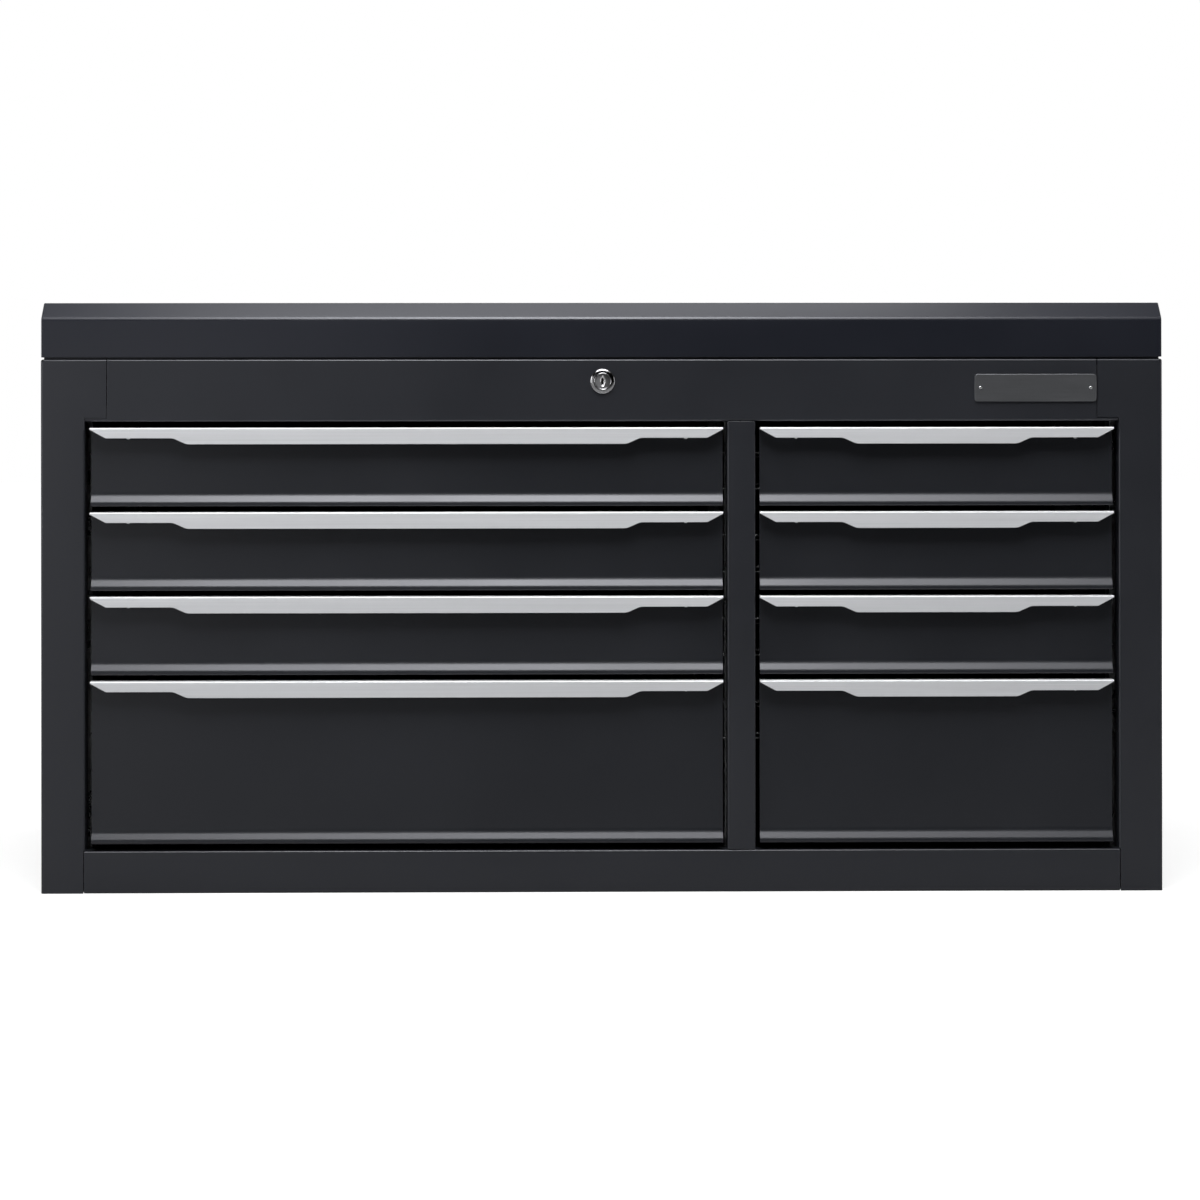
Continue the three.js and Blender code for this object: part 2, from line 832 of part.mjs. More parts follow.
// Bent strap from the underside of the lid down to a ledge that the turned cam covers
function lidStrike() {
  const { from, plateFrom, to, sheet, ahead, ledge, under, flange } = strike;
  const back = camFront - ahead;
  const front = back - sheet;
  const shelf = lockZ - lock.camWidth / 2 - under;
  const top = chest.height - lid.sheet - fit.seat;
  return join(
    box([plateFrom, to], [front, back], [shelf - sheet, top]),
    box([from, to], [front, back + ledge], [shelf - sheet, shelf]),
    box([plateFrom, to], [front, front + flange], [top - sheet, top]),
  );
}

function blankPlate() {
  const { endGap, down, width, height, thickness, corner } = plate;
  const across = half - carcass.tab - endGap - width / 2;
  const z = bodyTop - down;
  const outline = rounded(
    [
      [across - width / 2, z - height / 2, corner],
      [across + width / 2, z - height / 2, corner],
      [across + width / 2, z + height / 2, corner],
      [across - width / 2, z + height / 2, corner],
    ],
    3,
  );
  return sweep('y', outline, [-fit.seat - thickness, -fit.seat]);
}

// Assembly: the carcass
for (const side of sides) piece(`${side.name}_side_panel`, sidePanel(side), paint);
piece('back_panel', backPanel(), paint);
piece('bottom_panel', bottomPanel(), paint);
piece('top_rail', topRail(), paint);
piece('bottom_rail', bottomRail(), paint);
piece('center_post', centerPost(), paint);
piece('center_partition', centerPartition(), paint);
piece('till_floor', tillFloor(), paint);
piece('blank_plate', blankPlate(), plateFinish);

// Runner racks on both sides of each bank
const outerCarrier = carcass.sheet + fit.seat;
const middleCarrier = carcass.sheet / 2 + fit.seat;
piece('left_outer_runner_rack', runnerRack(banks[0].from, -half + outerCarrier, 1), zinc);
piece('left_inner_runner_rack', runnerRack(banks[0].to, postX - middleCarrier, -1), zinc);
piece('right_inner_runner_rack', runnerRack(banks[1].from, postX + middleCarrier, 1), zinc);
piece('right_outer_runner_rack', runnerRack(banks[1].to, half - outerCarrier, -1), zinc);

// Drawers
for (const bank of banks) {
  for (const row of rows) {
    const name = `${bank.name}_drawer_${row + 1}`;
    piece(`${name}_tray`, drawerTray(bank, row), paint);
    piece(`${name}_front`, drawerFront(bank, row), facePaint);
    piece(`${name}_pull`, drawerPull(bank, row), satin);
  }
}

// Lid and hinge
piece('lid_shell', lidShell(), paint);
piece('lid_brace', lidBrace(), paint);
piece('hinge_body_leaf', hingeLeaf(0, -1), paint);
piece('hinge_lid_leaf', hingeLeaf(1, 1), paint);
piece('hinge_pin', hingePin(), zinc);

// Gas struts and their brackets
for (const side of sides) {
  const eyeFace = strut.sideInset - strut.eyeWidth / 2;
  const bodyStud = strut.sideInset + strut.eyeWidth / 2;
  const bodyBracket = strutBracket(side, bodyPivot, carcass.sheet, bodyStud);
  const lidBracket = strutBracket(side, lidPivot, lid.inset + lid.sheet, eyeFace - fit.seat);
  piece(`${side.name}_strut_body_bracket`, bodyBracket, zinc);
  piece(`${side.name}_strut_lid_bracket`, lidBracket, zinc);
  const holder = strutGroup(side);
  piece(`${side.name}_strut_rod`, strutRod(), chrome, holder);
  piece(`${side.name}_strut_tube`, strutTube(), black, holder);
}

// Lock
piece('lock_barrel', lockBarrel(), chrome);
piece('lock_nut', lockNut(), zinc);
piece('lock_plug', lockPlug(), chrome);
piece('lock_cam', lockCam(), zinc);
piece('lid_strike', lidStrike(), zinc);

// The origin is the middle of the footprint, from the pulls to the back of the hinge
const rearmost = hingeY + hinge.knuckleRadius;
group.position.y = (pull.proud - rearmost) / 2;

export default group;
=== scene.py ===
# Looks of the tool chest: bent sheet, bright pulls, lock, struts, finishes, light and camera.
# Metres, +Z up, the front faces -Y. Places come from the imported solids.

import json
import math

import bmesh
import bpy
from mathutils import Matrix, Vector


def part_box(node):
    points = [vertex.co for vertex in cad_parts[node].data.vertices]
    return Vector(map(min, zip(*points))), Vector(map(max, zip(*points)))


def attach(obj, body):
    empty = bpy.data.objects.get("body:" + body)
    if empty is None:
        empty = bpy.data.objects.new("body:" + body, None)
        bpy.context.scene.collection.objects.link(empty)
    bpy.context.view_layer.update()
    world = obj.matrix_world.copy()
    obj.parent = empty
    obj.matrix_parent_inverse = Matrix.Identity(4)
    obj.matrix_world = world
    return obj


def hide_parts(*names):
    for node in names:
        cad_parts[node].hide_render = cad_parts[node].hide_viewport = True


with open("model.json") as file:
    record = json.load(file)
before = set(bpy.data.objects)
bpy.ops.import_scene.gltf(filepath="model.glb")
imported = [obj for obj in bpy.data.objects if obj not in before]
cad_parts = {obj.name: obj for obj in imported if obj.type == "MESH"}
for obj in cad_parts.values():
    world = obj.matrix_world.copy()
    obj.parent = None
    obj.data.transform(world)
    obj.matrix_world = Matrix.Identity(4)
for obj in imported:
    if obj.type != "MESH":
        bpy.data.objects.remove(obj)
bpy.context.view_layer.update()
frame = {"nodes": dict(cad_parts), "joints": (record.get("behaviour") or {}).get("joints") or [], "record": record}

# Sheet, its bends and its seams
SHEET = 0.001
DRAWER_SHEET = 0.0008
CORNER_BEND = 0.0024
EDGE_BEND = 0.0018
STEP_BEND = 0.0010
ARC_STEP = math.radians(12)
SEAT = 0.0003
SEAM = 0.0007
OVERRUN = 0.002
LAP = 0.008
JOIN_EASE = 0.00001

# Widths of the eased edges. Up to these angles, in degrees, faces shade as one, and edges
# above SOFT_ANGLE are eased.
FINE_EDGE = 0.00008
PLUG_EDGE = 0.0001
EASED_EDGE = 0.0002
FRONT_EDGE = 0.00025
BOLD_EDGE = 0.0003
EDGE_SEGMENTS = 2
SOFT_ANGLE = 30
ROUND_ANGLE = 40
RING_ANGLE = 20

# Points this close become one, and faces within this many degrees of a plane become one
CARVED_POINT, CARVED_PLANE = 2e-6, 0.2
SOLID_POINT, SOLID_PLANE = 5e-6, 0.5

# Carcass
STILE_FOOT = 0.040
TAB_LIFT = 0.0033
RETURN_DEPTH = 0.020
REAR_FOLD = 0.020
RIM_STEP = 0.003
RIM_RISE = 0.008

# Lid
SKIRT = 0.0369
CHAMFER_RUN = 0.017
SHOULDER_BEND = 0.0066
CROWN_BEND = 0.003
LID_END_BEND = 0.0012
LID_END_STEPS = 4

# Drawer fronts
SET_BACK = 0.005
LIP = 0.0033
BEVEL_RISE = 0.008
HEAD_FOLD = 0.005
HEAD_BEND = 0.0012
HEM = 0.009
HEM_RISE = 0.014
HEM_BEND = 0.001
END_FOLD = 0.009
CREASE_BEND = 0.009
LIP_BEND = 0.006

# Pulls
PROUD = 0.006
PULL_PLATE = 0.0018
SHALLOW = 0.0098
DEEP = 0.0155
TIP_TAPER = 0.015
TIP_BEND = 0.004
SHALLOW_RUN = 0.0636
RAMP = 0.0128
RAMP_BEND = 0.012
PULL_NOSE = 0.0015
PULL_CORNER = 0.0008
CLIP = 0.007
CLIP_BEND = 0.0005
CUT_REACH = 0.004
CUT_DEPTH = 0.0006
SCREW_IN = 0.0350
SCREW_LIFT = 0.3  # of the screw's radius above the shallow edge

# Trays
ROLL = 0.005
ROLL_DROP = 0.0006
ROLL_BEND = 0.0011
ROLL_LOW = 0.0022
ROLL_HIGH = 0.0014
TRAY_BEND = 0.0012
WALL_DROP = 0.0015

# Runner members on the trays
MEMBER_REACH = 0.0099
RUNNER_DROP = 0.042
MEMBER_HALF = 0.0125
MEMBER_DEPTH = 0.0093
MEMBER_SEAT = 0.0001
MEMBER_SHEET = 0.0012
MEMBER_BEND = 0.0018
RUNNER_START = 0.0405

# Small heads: (radius, height), how far from an edge they sit, and how many are in a row.
# The row up the back starts a share of a step above the foot.
PULL_SCREW = (0.0021, 0.0014)
HINGE_RIVET, HINGE_RIVET_IN, HINGE_RIVETS = (0.0026, 0.0011), 0.006, 12
BACK_RIVET, BACK_RIVETS, BACK_RIVET_START = (0.0028, 0.0012), 6, 0.35
BRACKET_RIVET, BRACKET_RIVET_IN, BRACKET_SHEET = (0.0022, 0.001), 0.0045, 0.0015
PLATE_PIN, PLATE_PIN_IN = (0.0016, 0.0009), 0.0055
HEAD_CURVE = [(1, 0.35), (0.82, 0.75), (0.45, 1), (0, 1)]
HEAD_ROOT = 0.0004
HEAD_FACETS = 20

# Lock: the lip's points are given from the bore and from the bezel's front
LOCK_BORE = 0.0097
LOCK_FACETS = 96
PLUG_RADIUS = 0.0073
PLUG_PLAY = 0.00025
PLUG_FACE = 0.0007
PLUG_FLAT = 0.93
PLUG_EASE = 0.0004
TAIL = 0.006
TAIL_LENGTH = 0.007
LIP_CURVE = [
    (0, 0.0003),
    (0.00005, 0.0001),
    (0.0002, 0),
    (0.0004, 0.0001),
    (0.0005, 0.0003),
    (0.0006, 0.0005),
]
DOME_START = 0.0007
DOME_DROP = 0.0005
DOME_STEPS = 12
SLOT_WIDTH = 0.0020
SLOT_HEIGHT = 0.0062
SLOT_DEPTH = 0.009
# The box of painted shade inside the slot: its depth into the plug, and its inset from the slot's walls and end
SLOT_SHADE_DEPTH = 0.0009
SLOT_SHADE_INSET = 0.00005
RING_WIDTH = 0.0050
RING_HEIGHT = 0.0102
RING_CREST = 0.0005
RING_OPENING = 0.0010
RING_SHOULDER = 0.0002
RING_DISH = 0.00065
RING_FOOT = 0.0010
RING_FACETS = 64

# Gas struts: the tube's curves are given from its mouth and from its end
ROD_RADIUS = 0.004
ROD_SHOW = 0.016
ROD_LENGTH = 0.148
ROD_BORE = 0.0045
ROD_FACETS = 40
TUBE_RADIUS = 0.008
TUBE_MOUTH = [(0.0062, 0), (0.0072, 0.0006), (0.0078, 0.0016), (TUBE_RADIUS, 0.003)]
TUBE_END = [(TUBE_RADIUS, 0.004), (0.0076, 0.0018), (0.0064, 0.0004)]
TUBE_FACETS = 48
NECK_RADIUS = 0.0038
FITTING = 0.012
FITTING_RADIUS = 0.0056
FITTING_FACETS = 32
FERRULE_TIP = 0.0050
FERRULE_EASE = 0.001
FERRULE_END = 0.0145
COLLAR_START = 0.0015
EYE_RADIUS = 0.008
EYE_WIDTH = 0.008
EYE_EASE = 0.0006
STUD_BORE = 0.0043
# How far from their stud the rod, the fittings and the neck begin inside the eyes
ROD_START = EYE_RADIUS * 0.7
FITTING_START = EYE_RADIUS * 0.75
NECK_START = EYE_RADIUS * 0.8
# The bore of a fitting, as a share of what it grips
GRIP = 0.9

# Piano hinge
KNUCKLE_RADIUS = 0.004
KNUCKLES = 13
KNUCKLE_GAP = 0.0008
KNUCKLE_FACETS = 28
PIN_BORE = 0.0021
LEAF_SHEET = 0.0012
LEAF_CLEARANCE = 0.0006
# The strip that joins a knuckle to its leaf: its start in bores of the pin, its lap over the
# leaf, and its thickness as a share of the leaf's
STRIP_START = 1.3
STRIP_LAP = 0.0003
STRIP_SHARE = 0.98

# Floor and room. Ramps run along Y, but for the glow's, which runs out from the middle.
# The gloss ramps say from where on gloss meets the white background.
FLOOR_COLOR = (0.32, 0.32, 0.32)
FLOOR_ROUGHNESS = 0.9
FLOOR_REACH = 14
FLOOR_DEPTH = 0.02
FLOOR_GLOW = 0.75
GLOW_RAMP = (0.8, 2.6)
FLOOR_GLOSS_RAMP = (0.4, 1.4)
ROOM_LEVEL = 0.20
ROOM_RAMP = (-0.50, 0.30)
ROOM_GLOSS_RAMP = (0.35, 0.80)

# Softboxes: (name, centre, width, height, brightness), all turned to one point of the front
AIM_HEIGHT = 0.28
SOFTBOXES = [
    ("overhead", (-0.12, -1.25, 2.35), 2.0, 1.3, 5.75),
    ("overhead_core", (-0.16, -1.20, 2.20), 0.9, 0.9, 11.2),
    ("overhead_right", (0.75, -1.25, 2.30), 0.9, 1.2, 1.45),
    ("ceiling", (-0.05, 0.05, 2.40), 1.6, 0.9, 2.65),
    ("left_side", (-2.6, -1.35, 0.9), 0.9, 1.5, 5.2),
    ("left_front", (-1.35, -2.9, 0.45), 1.4, 1.4, 0.75),
    ("right_side", (1.45, -0.72, 0.5), 0.4, 1.0, 1.4),
    ("rear", (0.4, 2.8, 1.3), 2.0, 1.4, 2.5),
    ("right_wall", (2.6, 1.1, 1.2), 1.2, 1.6, 4.0),
]

# The photograph's view: level, a little left of the middle, turned right by under a degree
LENS = 94.82
SENSOR = 36
DISTANCE = 3.0
CAMERA_HEIGHT = 0.471
CAMERA_SIDE = -0.0429
TURN = math.radians(0.77)
TILT = math.radians(0.055)
FRAME_MIDDLE = 0.277
PIXEL = 0.000951
FRAME_PIXELS = 1200

# Places on the frame
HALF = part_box("right_side_panel")[1].x
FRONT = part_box("top_rail")[0].y
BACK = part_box("back_panel")[1].y
BODY_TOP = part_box("top_rail")[1].z - RIM_RISE
OPENING_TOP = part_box("top_rail")[0].z
OPENING_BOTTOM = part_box("bottom_rail")[1].z
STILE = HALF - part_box("top_rail")[1].x - SEAM
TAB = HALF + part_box("left_side_panel")[1].x
LOCK_LOW, LOCK_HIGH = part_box("lock_barrel")
LOCK_X = (LOCK_LOW.x + LOCK_HIGH.x) / 2
LOCK_Z = (LOCK_LOW.z + LOCK_HIGH.z) / 2
BEZEL_RADIUS = (LOCK_HIGH.x - LOCK_LOW.x) / 2
BEZEL_FRONT = LOCK_LOW.y
PLUG_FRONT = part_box("lock_plug")[0].y


# Outlines

def fillet(corners, closed=False):
    """Corners (u, v) or (u, v, radius) as a line of points, each radius turned into an arc."""
    points = []
    count = len(corners)
    for i, (u, v, *radius) in enumerate(corners):
        here = Vector((u, v))
        loose_end = not closed and i in (0, count - 1)
        if not radius or loose_end:
            points.append(here)
            continue
        before = (Vector(corners[i - 1][:2]) - here).normalized()
        after = (Vector(corners[(i + 1) % count][:2]) - here).normalized()
        half = before.angle(after) / 2
        turn = math.pi - 2 * half
        centre = here + (before + after).normalized() * (radius[0] / math.sin(half))
        arm = here + before * (radius[0] / math.tan(half)) - centre
        way = 1 if after.x * before.y - after.y * before.x > 0 else -1
        steps = max(2, math.ceil(turn / ARC_STEP))
        for k in range(steps + 1):
            points.append(centre + Matrix.Rotation(way * turn * k / steps, 2) @ arm)
    return points


def shifted(points, distance):
    """The same open line moved to its left by a distance."""
    normals = []
    for here, there in zip(points, points[1:]):
        step = (there - here).normalized()
        normals.append(Vector((-step.y, step.x)))
    moved = []
    for i, point in enumerate(points):
        a, b = normals[max(i - 1, 0)], normals[min(i, len(normals) - 1)]
        moved.append(point + (a + b) * (distance / (1 + a.dot(b))))
    return moved


# Shapes are pairs of vertices and faces

def place(axis, u, v, w):
    """A point of an outline: (y, z) across X, (x, z) across Y, (x, y) across Z."""
    return {"x": (w, u, v), "y": (u, w, v), "z": (u, v, w)}[axis]


def sheet(corners, thickness, axis, span):
    """Bent sheet seen from its end, swept along an axis. It lies to the left of its line, or
    to the right where its thickness is negative."""
    outer = fillet(corners)
    inner = shifted(outer, thickness)
    count = len(outer)
    vertices = [place(axis, *point, w) for w in span for line in (outer, inner) for point in line]

    def at(end, side, i):
        return (2 * end + side) * count + i

    faces = []
    for i in range(count - 1):
        faces += [(at(e, 0, i), at(e, 0, i + 1), at(e, 1, i + 1), at(e, 1, i)) for e in (0, 1)]
        faces += [(at(0, s, i), at(1, s, i), at(1, s, i + 1), at(0, s, i + 1)) for s in (0, 1)]
    faces += [(at(0, 0, i), at(0, 1, i), at(1, 1, i), at(1, 0, i)) for i in (0, count - 1)]
    return vertices, faces


def loft(sections):
    """Closed loops of equally many points, joined one to the next and capped."""
    count = len(sections[0])
    vertices = [point for section in sections for point in section]
    faces = [tuple(range(count)), tuple(len(vertices) - count + i for i in range(count))]
    for k in range(len(sections) - 1):
        for i in range(count):
            j = (i + 1) % count
            faces.append((k * count + i, k * count + j, (k + 1) * count + j, (k + 1) * count + i))
    return vertices, faces


def plate(corners, axis, span):
    """A flat outline swept along an axis."""
    outline = fillet(corners, closed=True)
    return loft([[place(axis, *point, w) for point in outline] for w in span])


def block(xs, ys, zs):
    return plate([(xs[0], ys[0]), (xs[1], ys[0]), (xs[1], ys[1]), (xs[0], ys[1])], "z", zs)


def turned(profile, origin, direction, facets=48):
    """A profile of (radius, distance along the axis) turned about an axis."""
    origin, direction = Vector(origin), Vector(direction).normalized()
    side = direction.orthogonal().normalized()
    other = direction.cross(side)
    vertices, rings = [], []
    for radius, along in profile:
        middle = origin + direction * along
        if radius == 0:
            rings.append([len(vertices)] * facets)
            vertices.append(middle)
            continue
        rings.append([len(vertices) + i for i in range(facets)])
        for i in range(facets):
            angle = 2 * math.pi * i / facets
            vertices.append(middle + (side * math.cos(angle) + other * math.sin(angle)) * radius)
    pairs = list(zip(rings, rings[1:]))
    if profile[0][0] > 0:
        pairs.append((rings[-1], rings[0]))
    faces = []
    for ring, following in pairs:
        for i in range(facets):
            j = (i + 1) % facets
            corners = (ring[i], ring[j], following[j], following[i])
            face = tuple(dict.fromkeys(corners))
            if len(face) > 2:
                faces.append(face)
    return vertices, faces


def merged(*shapes):
    """Separate closed shapes kept side by side in one mesh."""
    vertices, faces = [], []
    for more, polygons in shapes:
        faces += [tuple(i + len(vertices) for i in polygon) for polygon in polygons]
        vertices += more
    return vertices, faces


def on_side(sign, shape):
    """A shape laid out by its distance from the outer face, put on the left or right side."""
    vertices, faces = shape
    return [(sign * (HALF - u), v, w) for u, v, w in vertices], faces


# Objects

def made(name, shape):
    """An object of its own from a shape, with its faces turned outwards."""
    mesh = bpy.data.meshes.new(name)
    mesh.from_pydata([tuple(v) for v in shape[0]], [], shape[1])
    work = bmesh.new()
    work.from_mesh(mesh)
    bmesh.ops.recalc_face_normals(work, faces=work.faces)
    work.to_mesh(mesh)
    work.free()
    piece = bpy.data.objects.new(name, mesh)
    bpy.context.scene.collection.objects.link(piece)
    return piece


def carved(name, base, joins=(), cuts=()):
    """The base shape with others joined to it and cut out of it."""
    whole = made(name, base)
    steps = [("UNION", shape) for shape in joins] + [("DIFFERENCE", shape) for shape in cuts]
    for operation, shape in steps:
        tool = made("tool", shape)
        change = whole.modifiers.new("carve", "BOOLEAN")
        change.operation, change.solver, change.object = operation, "EXACT", tool
        evaluated = whole.evaluated_get(bpy.context.evaluated_depsgraph_get())
        mesh = bpy.data.meshes.new_from_object(evaluated)
        whole.modifiers.clear()
        whole.data = mesh
        bpy.data.objects.remove(tool)
    work = bmesh.new()
    work.from_mesh(whole.data)
    bmesh.ops.remove_doubles(work, verts=work.verts, dist=CARVED_POINT)
    limit = math.radians(CARVED_PLANE)
    bmesh.ops.dissolve_limit(work, angle_limit=limit, verts=work.verts, edges=work.edges)
    loose = [edge for edge in work.edges if not edge.link_faces]
    bmesh.ops.delete(work, geom=loose, context="EDGES")
    work.to_mesh(whole.data)
    work.free()
    return whole


def soften(piece, width):
    """A narrow bevel along the sharp edges."""
    edge = piece.modifiers.new("edges", "BEVEL")
    edge.width = width
    edge.segments = EDGE_SEGMENTS
    edge.limit_method = "ANGLE"
    edge.angle_limit = math.radians(SOFT_ANGLE)
    edge.harden_normals = False
    edge.use_clamp_overlap = True
    return piece


def smooth(piece, angle=SOFT_ANGLE):
    """Smooth shading across the arcs, with the sharper folds kept."""
    mesh = piece.data
    mesh.polygons.foreach_set("use_smooth", [True] * len(mesh.polygons))
    mesh.set_sharp_from_angle(angle=math.radians(angle))
    return piece


def finish(piece, material, body):
    """A piece of the scene gets its material and slot, and rides on a body."""
    piece.data.materials.clear()
    piece.data.materials.append(material)
    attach(piece, body)
    return piece


def body_of(node):
    """The body that holds a node, by the frame's record."""
    bodies = frame["record"]["behaviour"]["bodies"]
    return next(body for body, nodes in bodies.items() if node in nodes)


def stand_in(piece, node, material):
    """A formed piece takes the place of its solid, on the same body."""
    finish(piece, material, body_of(node))
    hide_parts(node)
    return piece


def dress(node, material, width):
    """A solid of the frame keeps its shape, with its edges eased and its finish on."""
    piece = frame["nodes"][node]
    weld = piece.modifiers.new("weld", "WELD")
    weld.merge_threshold = SOLID_POINT
    flat = piece.modifiers.new("flat", "DECIMATE")
    flat.decimate_type = "DISSOLVE"
    flat.angle_limit = math.radians(SOLID_PLANE)
    soften(piece, width)
    piece.data.materials.clear()
    piece.data.materials.append(material)


# Materials

# The part of its 0 to 1 that a noise mostly fills
NOISE_RANGE = (0.3, 0.7)

# Scales are per metre, relief is in metres, and tone and gloss are how far they drift
POWDER_DRIFT = 7
POWDER_TONE = 0.07
POWDER_GLOSS = 0.025
POWDER_RELIEF = [(1400, 3e-6), (260, 3e-6)]
BRUSHED_STRETCH = (0.006, 1, 1)
BRUSHED_TONE = 0.035
BRUSHED_GLOSS = 0.05
BRUSHED_RELIEF = 2e-6
PLATED_CLOUD = 60
PLATED_TONE = 0.04
PLATED_GLOSS = (0.8, 1.25)


def shader_of(material):
    return material.node_tree.nodes["Principled BSDF"]


def blank(name, color, roughness, metallic=0.0, level=0.5):
    """A material with its plain values on the shader's own sockets."""
    material = bpy.data.materials.new(name)
    material.use_nodes = True
    shader = shader_of(material)
    shader.inputs["Base Color"].default_value = (*color, 1)
    shader.inputs["Roughness"].default_value = roughness
    shader.inputs["Metallic"].default_value = metallic
    shader.inputs["Specular IOR Level"].default_value = level
    return material


def noise(material, scale, detail, stretch=(1, 1, 1)):
    """Noise in metres that stays with the piece, as a value from 0 to 1."""
    nodes, links = material.node_tree.nodes, material.node_tree.links
    where = nodes.new("ShaderNodeTexCoord")
    size = nodes.new("ShaderNodeMapping")
    size.inputs["Scale"].default_value = stretch
    grain = nodes.new("ShaderNodeTexNoise")
    grain.inputs["Scale"].default_value = scale
    grain.inputs["Detail"].default_value = detail
    links.new(where.outputs["Object"], size.inputs["Vector"])
    links.new(size.outputs["Vector"], grain.inputs["Vector"])
    return grain.outputs["Fac"]


def mapped(tree, value, source, target, interpolation="SMOOTHSTEP"):
    """A value carried from one range to another, and held at its ends."""
    ramp = tree.nodes.new("ShaderNodeMapRange")
    ramp.interpolation_type = interpolation
    for socket, number in zip(("From Min", "From Max", "To Min", "To Max"), (*source, *target)):
        ramp.inputs[socket].default_value = number
    tree.links.new(value, ramp.inputs["Value"])
    return ramp.outputs["Result"]


def combined(tree, operation, first, second):
    """Two values put together by a math node."""
    node = tree.nodes.new("ShaderNodeMath")
    node.operation = operation
    tree.links.new(first, node.inputs[0])
    tree.links.new(second, node.inputs[1])
    return node.outputs[0]


def spread(material, value, socket, low, high):
    """Noise moves a socket of the shader from low to high."""
    tree = material.node_tree
    result = mapped(tree, value, NOISE_RANGE, (low, high), "LINEAR")
    tree.links.new(result, shader_of(material).inputs[socket])


def tint(material, value, colors):
    """Noise moves the base colour from the first colour to the second."""
    nodes, links = material.node_tree.nodes, material.node_tree.links
    ramp = nodes.new("ShaderNodeValToRGB")
    for element, position, color in zip(ramp.color_ramp.elements, NOISE_RANGE, colors):
        element.position = position
        element.color = (*color, 1)
    links.new(value, ramp.inputs["Fac"])
    links.new(ramp.outputs["Color"], shader_of(material).inputs["Base Color"])


def bumps(material, layers):
    """Layers of (value, height in metres) laid over each other as relief."""
    nodes, links = material.node_tree.nodes, material.node_tree.links
    last = None
    for value, height in layers:
        bump = nodes.new("ShaderNodeBump")
        bump.inputs["Strength"].default_value = 1.0
        bump.inputs["Distance"].default_value = height
        links.new(value, bump.inputs["Height"])
        if last:
            links.new(last.outputs["Normal"], bump.inputs["Normal"])
        last = bump
    links.new(last.outputs["Normal"], shader_of(material).inputs["Normal"])


def shades(color, change):
    """A colour darker and lighter by a share of itself."""
    return [tuple(part * (1 + way * change) for part in color) for way in (-1, 1)]


def powder_coat(name, color, roughness, level, sheen=(1, 1, 1)):
    """Semi-gloss powder coat: a fine, even relief and a faint drift in tone and gloss."""
    material = blank(name, color, roughness, level=level)
    shader_of(material).inputs["Specular Tint"].default_value = (*sheen, 1)
    drift = noise(material, POWDER_DRIFT, detail=3)
    tint(material, drift, shades(color, POWDER_TONE))
    spread(material, drift, "Roughness", roughness - POWDER_GLOSS, roughness + POWDER_GLOSS)
    bumps(material, [(noise(material, scale, detail=1), height) for scale, height in POWDER_RELIEF])
    return material


def brushed(name, color, roughness, metallic, grain=1.0, fineness=900):
    """Metal drawn along X: long faint streaks in tone, gloss and relief."""
    material = blank(name, color, roughness, metallic)
    streak = noise(material, fineness, detail=3, stretch=BRUSHED_STRETCH)
    tint(material, streak, shades(color, BRUSHED_TONE * grain))
    drift = BRUSHED_GLOSS * grain
    spread(material, streak, "Roughness", roughness - drift, roughness + drift)
    bumps(material, [(streak, BRUSHED_RELIEF * grain)])
    return material


def plated(name, color, roughness):
    """Bright plating with a soft drift in gloss."""
    material = blank(name, color, roughness, metallic=1.0)
    cloud = noise(material, PLATED_CLOUD, detail=4)
    tint(material, cloud, shades(color, PLATED_TONE))
    spread(material, cloud, "Roughness", *(roughness * share for share in PLATED_GLOSS))
    return material


COOL = (0.93, 0.94, 1.0)
CHARCOAL = (0.0140, 0.0150, 0.0185)
carcass_paint = powder_coat("carcass_powder_coat", CHARCOAL, roughness=0.34, level=0.52, sheen=COOL)
lid_paint = powder_coat(
    "lid_powder_coat", (0.0075, 0.0085, 0.0130), roughness=0.33, level=0.50, sheen=COOL,
)
front_paint = powder_coat(
    "front_powder_coat", (0.0095, 0.0103, 0.0128), roughness=0.34, level=0.52, sheen=COOL,
)
tray_paint = powder_coat("tray_powder_coat", CHARCOAL, roughness=0.45, level=0.5)
pull_metal = brushed("satin_aluminium", (0.62, 0.63, 0.65), roughness=0.45, metallic=0.35)
plate_metal = brushed(
    "dark_brushed_plate", (0.200, 0.206, 0.218), roughness=0.36, metallic=0.9, grain=1.2, fineness=3200,
)
chrome = plated("chrome", (0.60, 0.60, 0.61), roughness=0.20)
bezel_chrome = plated("bezel_chrome", (0.36, 0.36, 0.37), roughness=0.13)
satin_chrome = plated("satin_chrome", (0.34, 0.34, 0.35), roughness=0.36)
zinc = plated("zinc", (0.50, 0.51, 0.52), roughness=0.30)
strut_black = powder_coat("strut_black", (0.010, 0.010, 0.011), roughness=0.22, level=0.5)
black_plastic = powder_coat("black_plastic", (0.016, 0.016, 0.017), roughness=0.5, level=0.4)
# Near-black and dull: painted shade for the inside of the key slot
painted_slot_shade = powder_coat("painted_slot_shade", (0.002, 0.002, 0.002), roughness=0.7, level=0.1)


# Carcass: panels bent from sheet

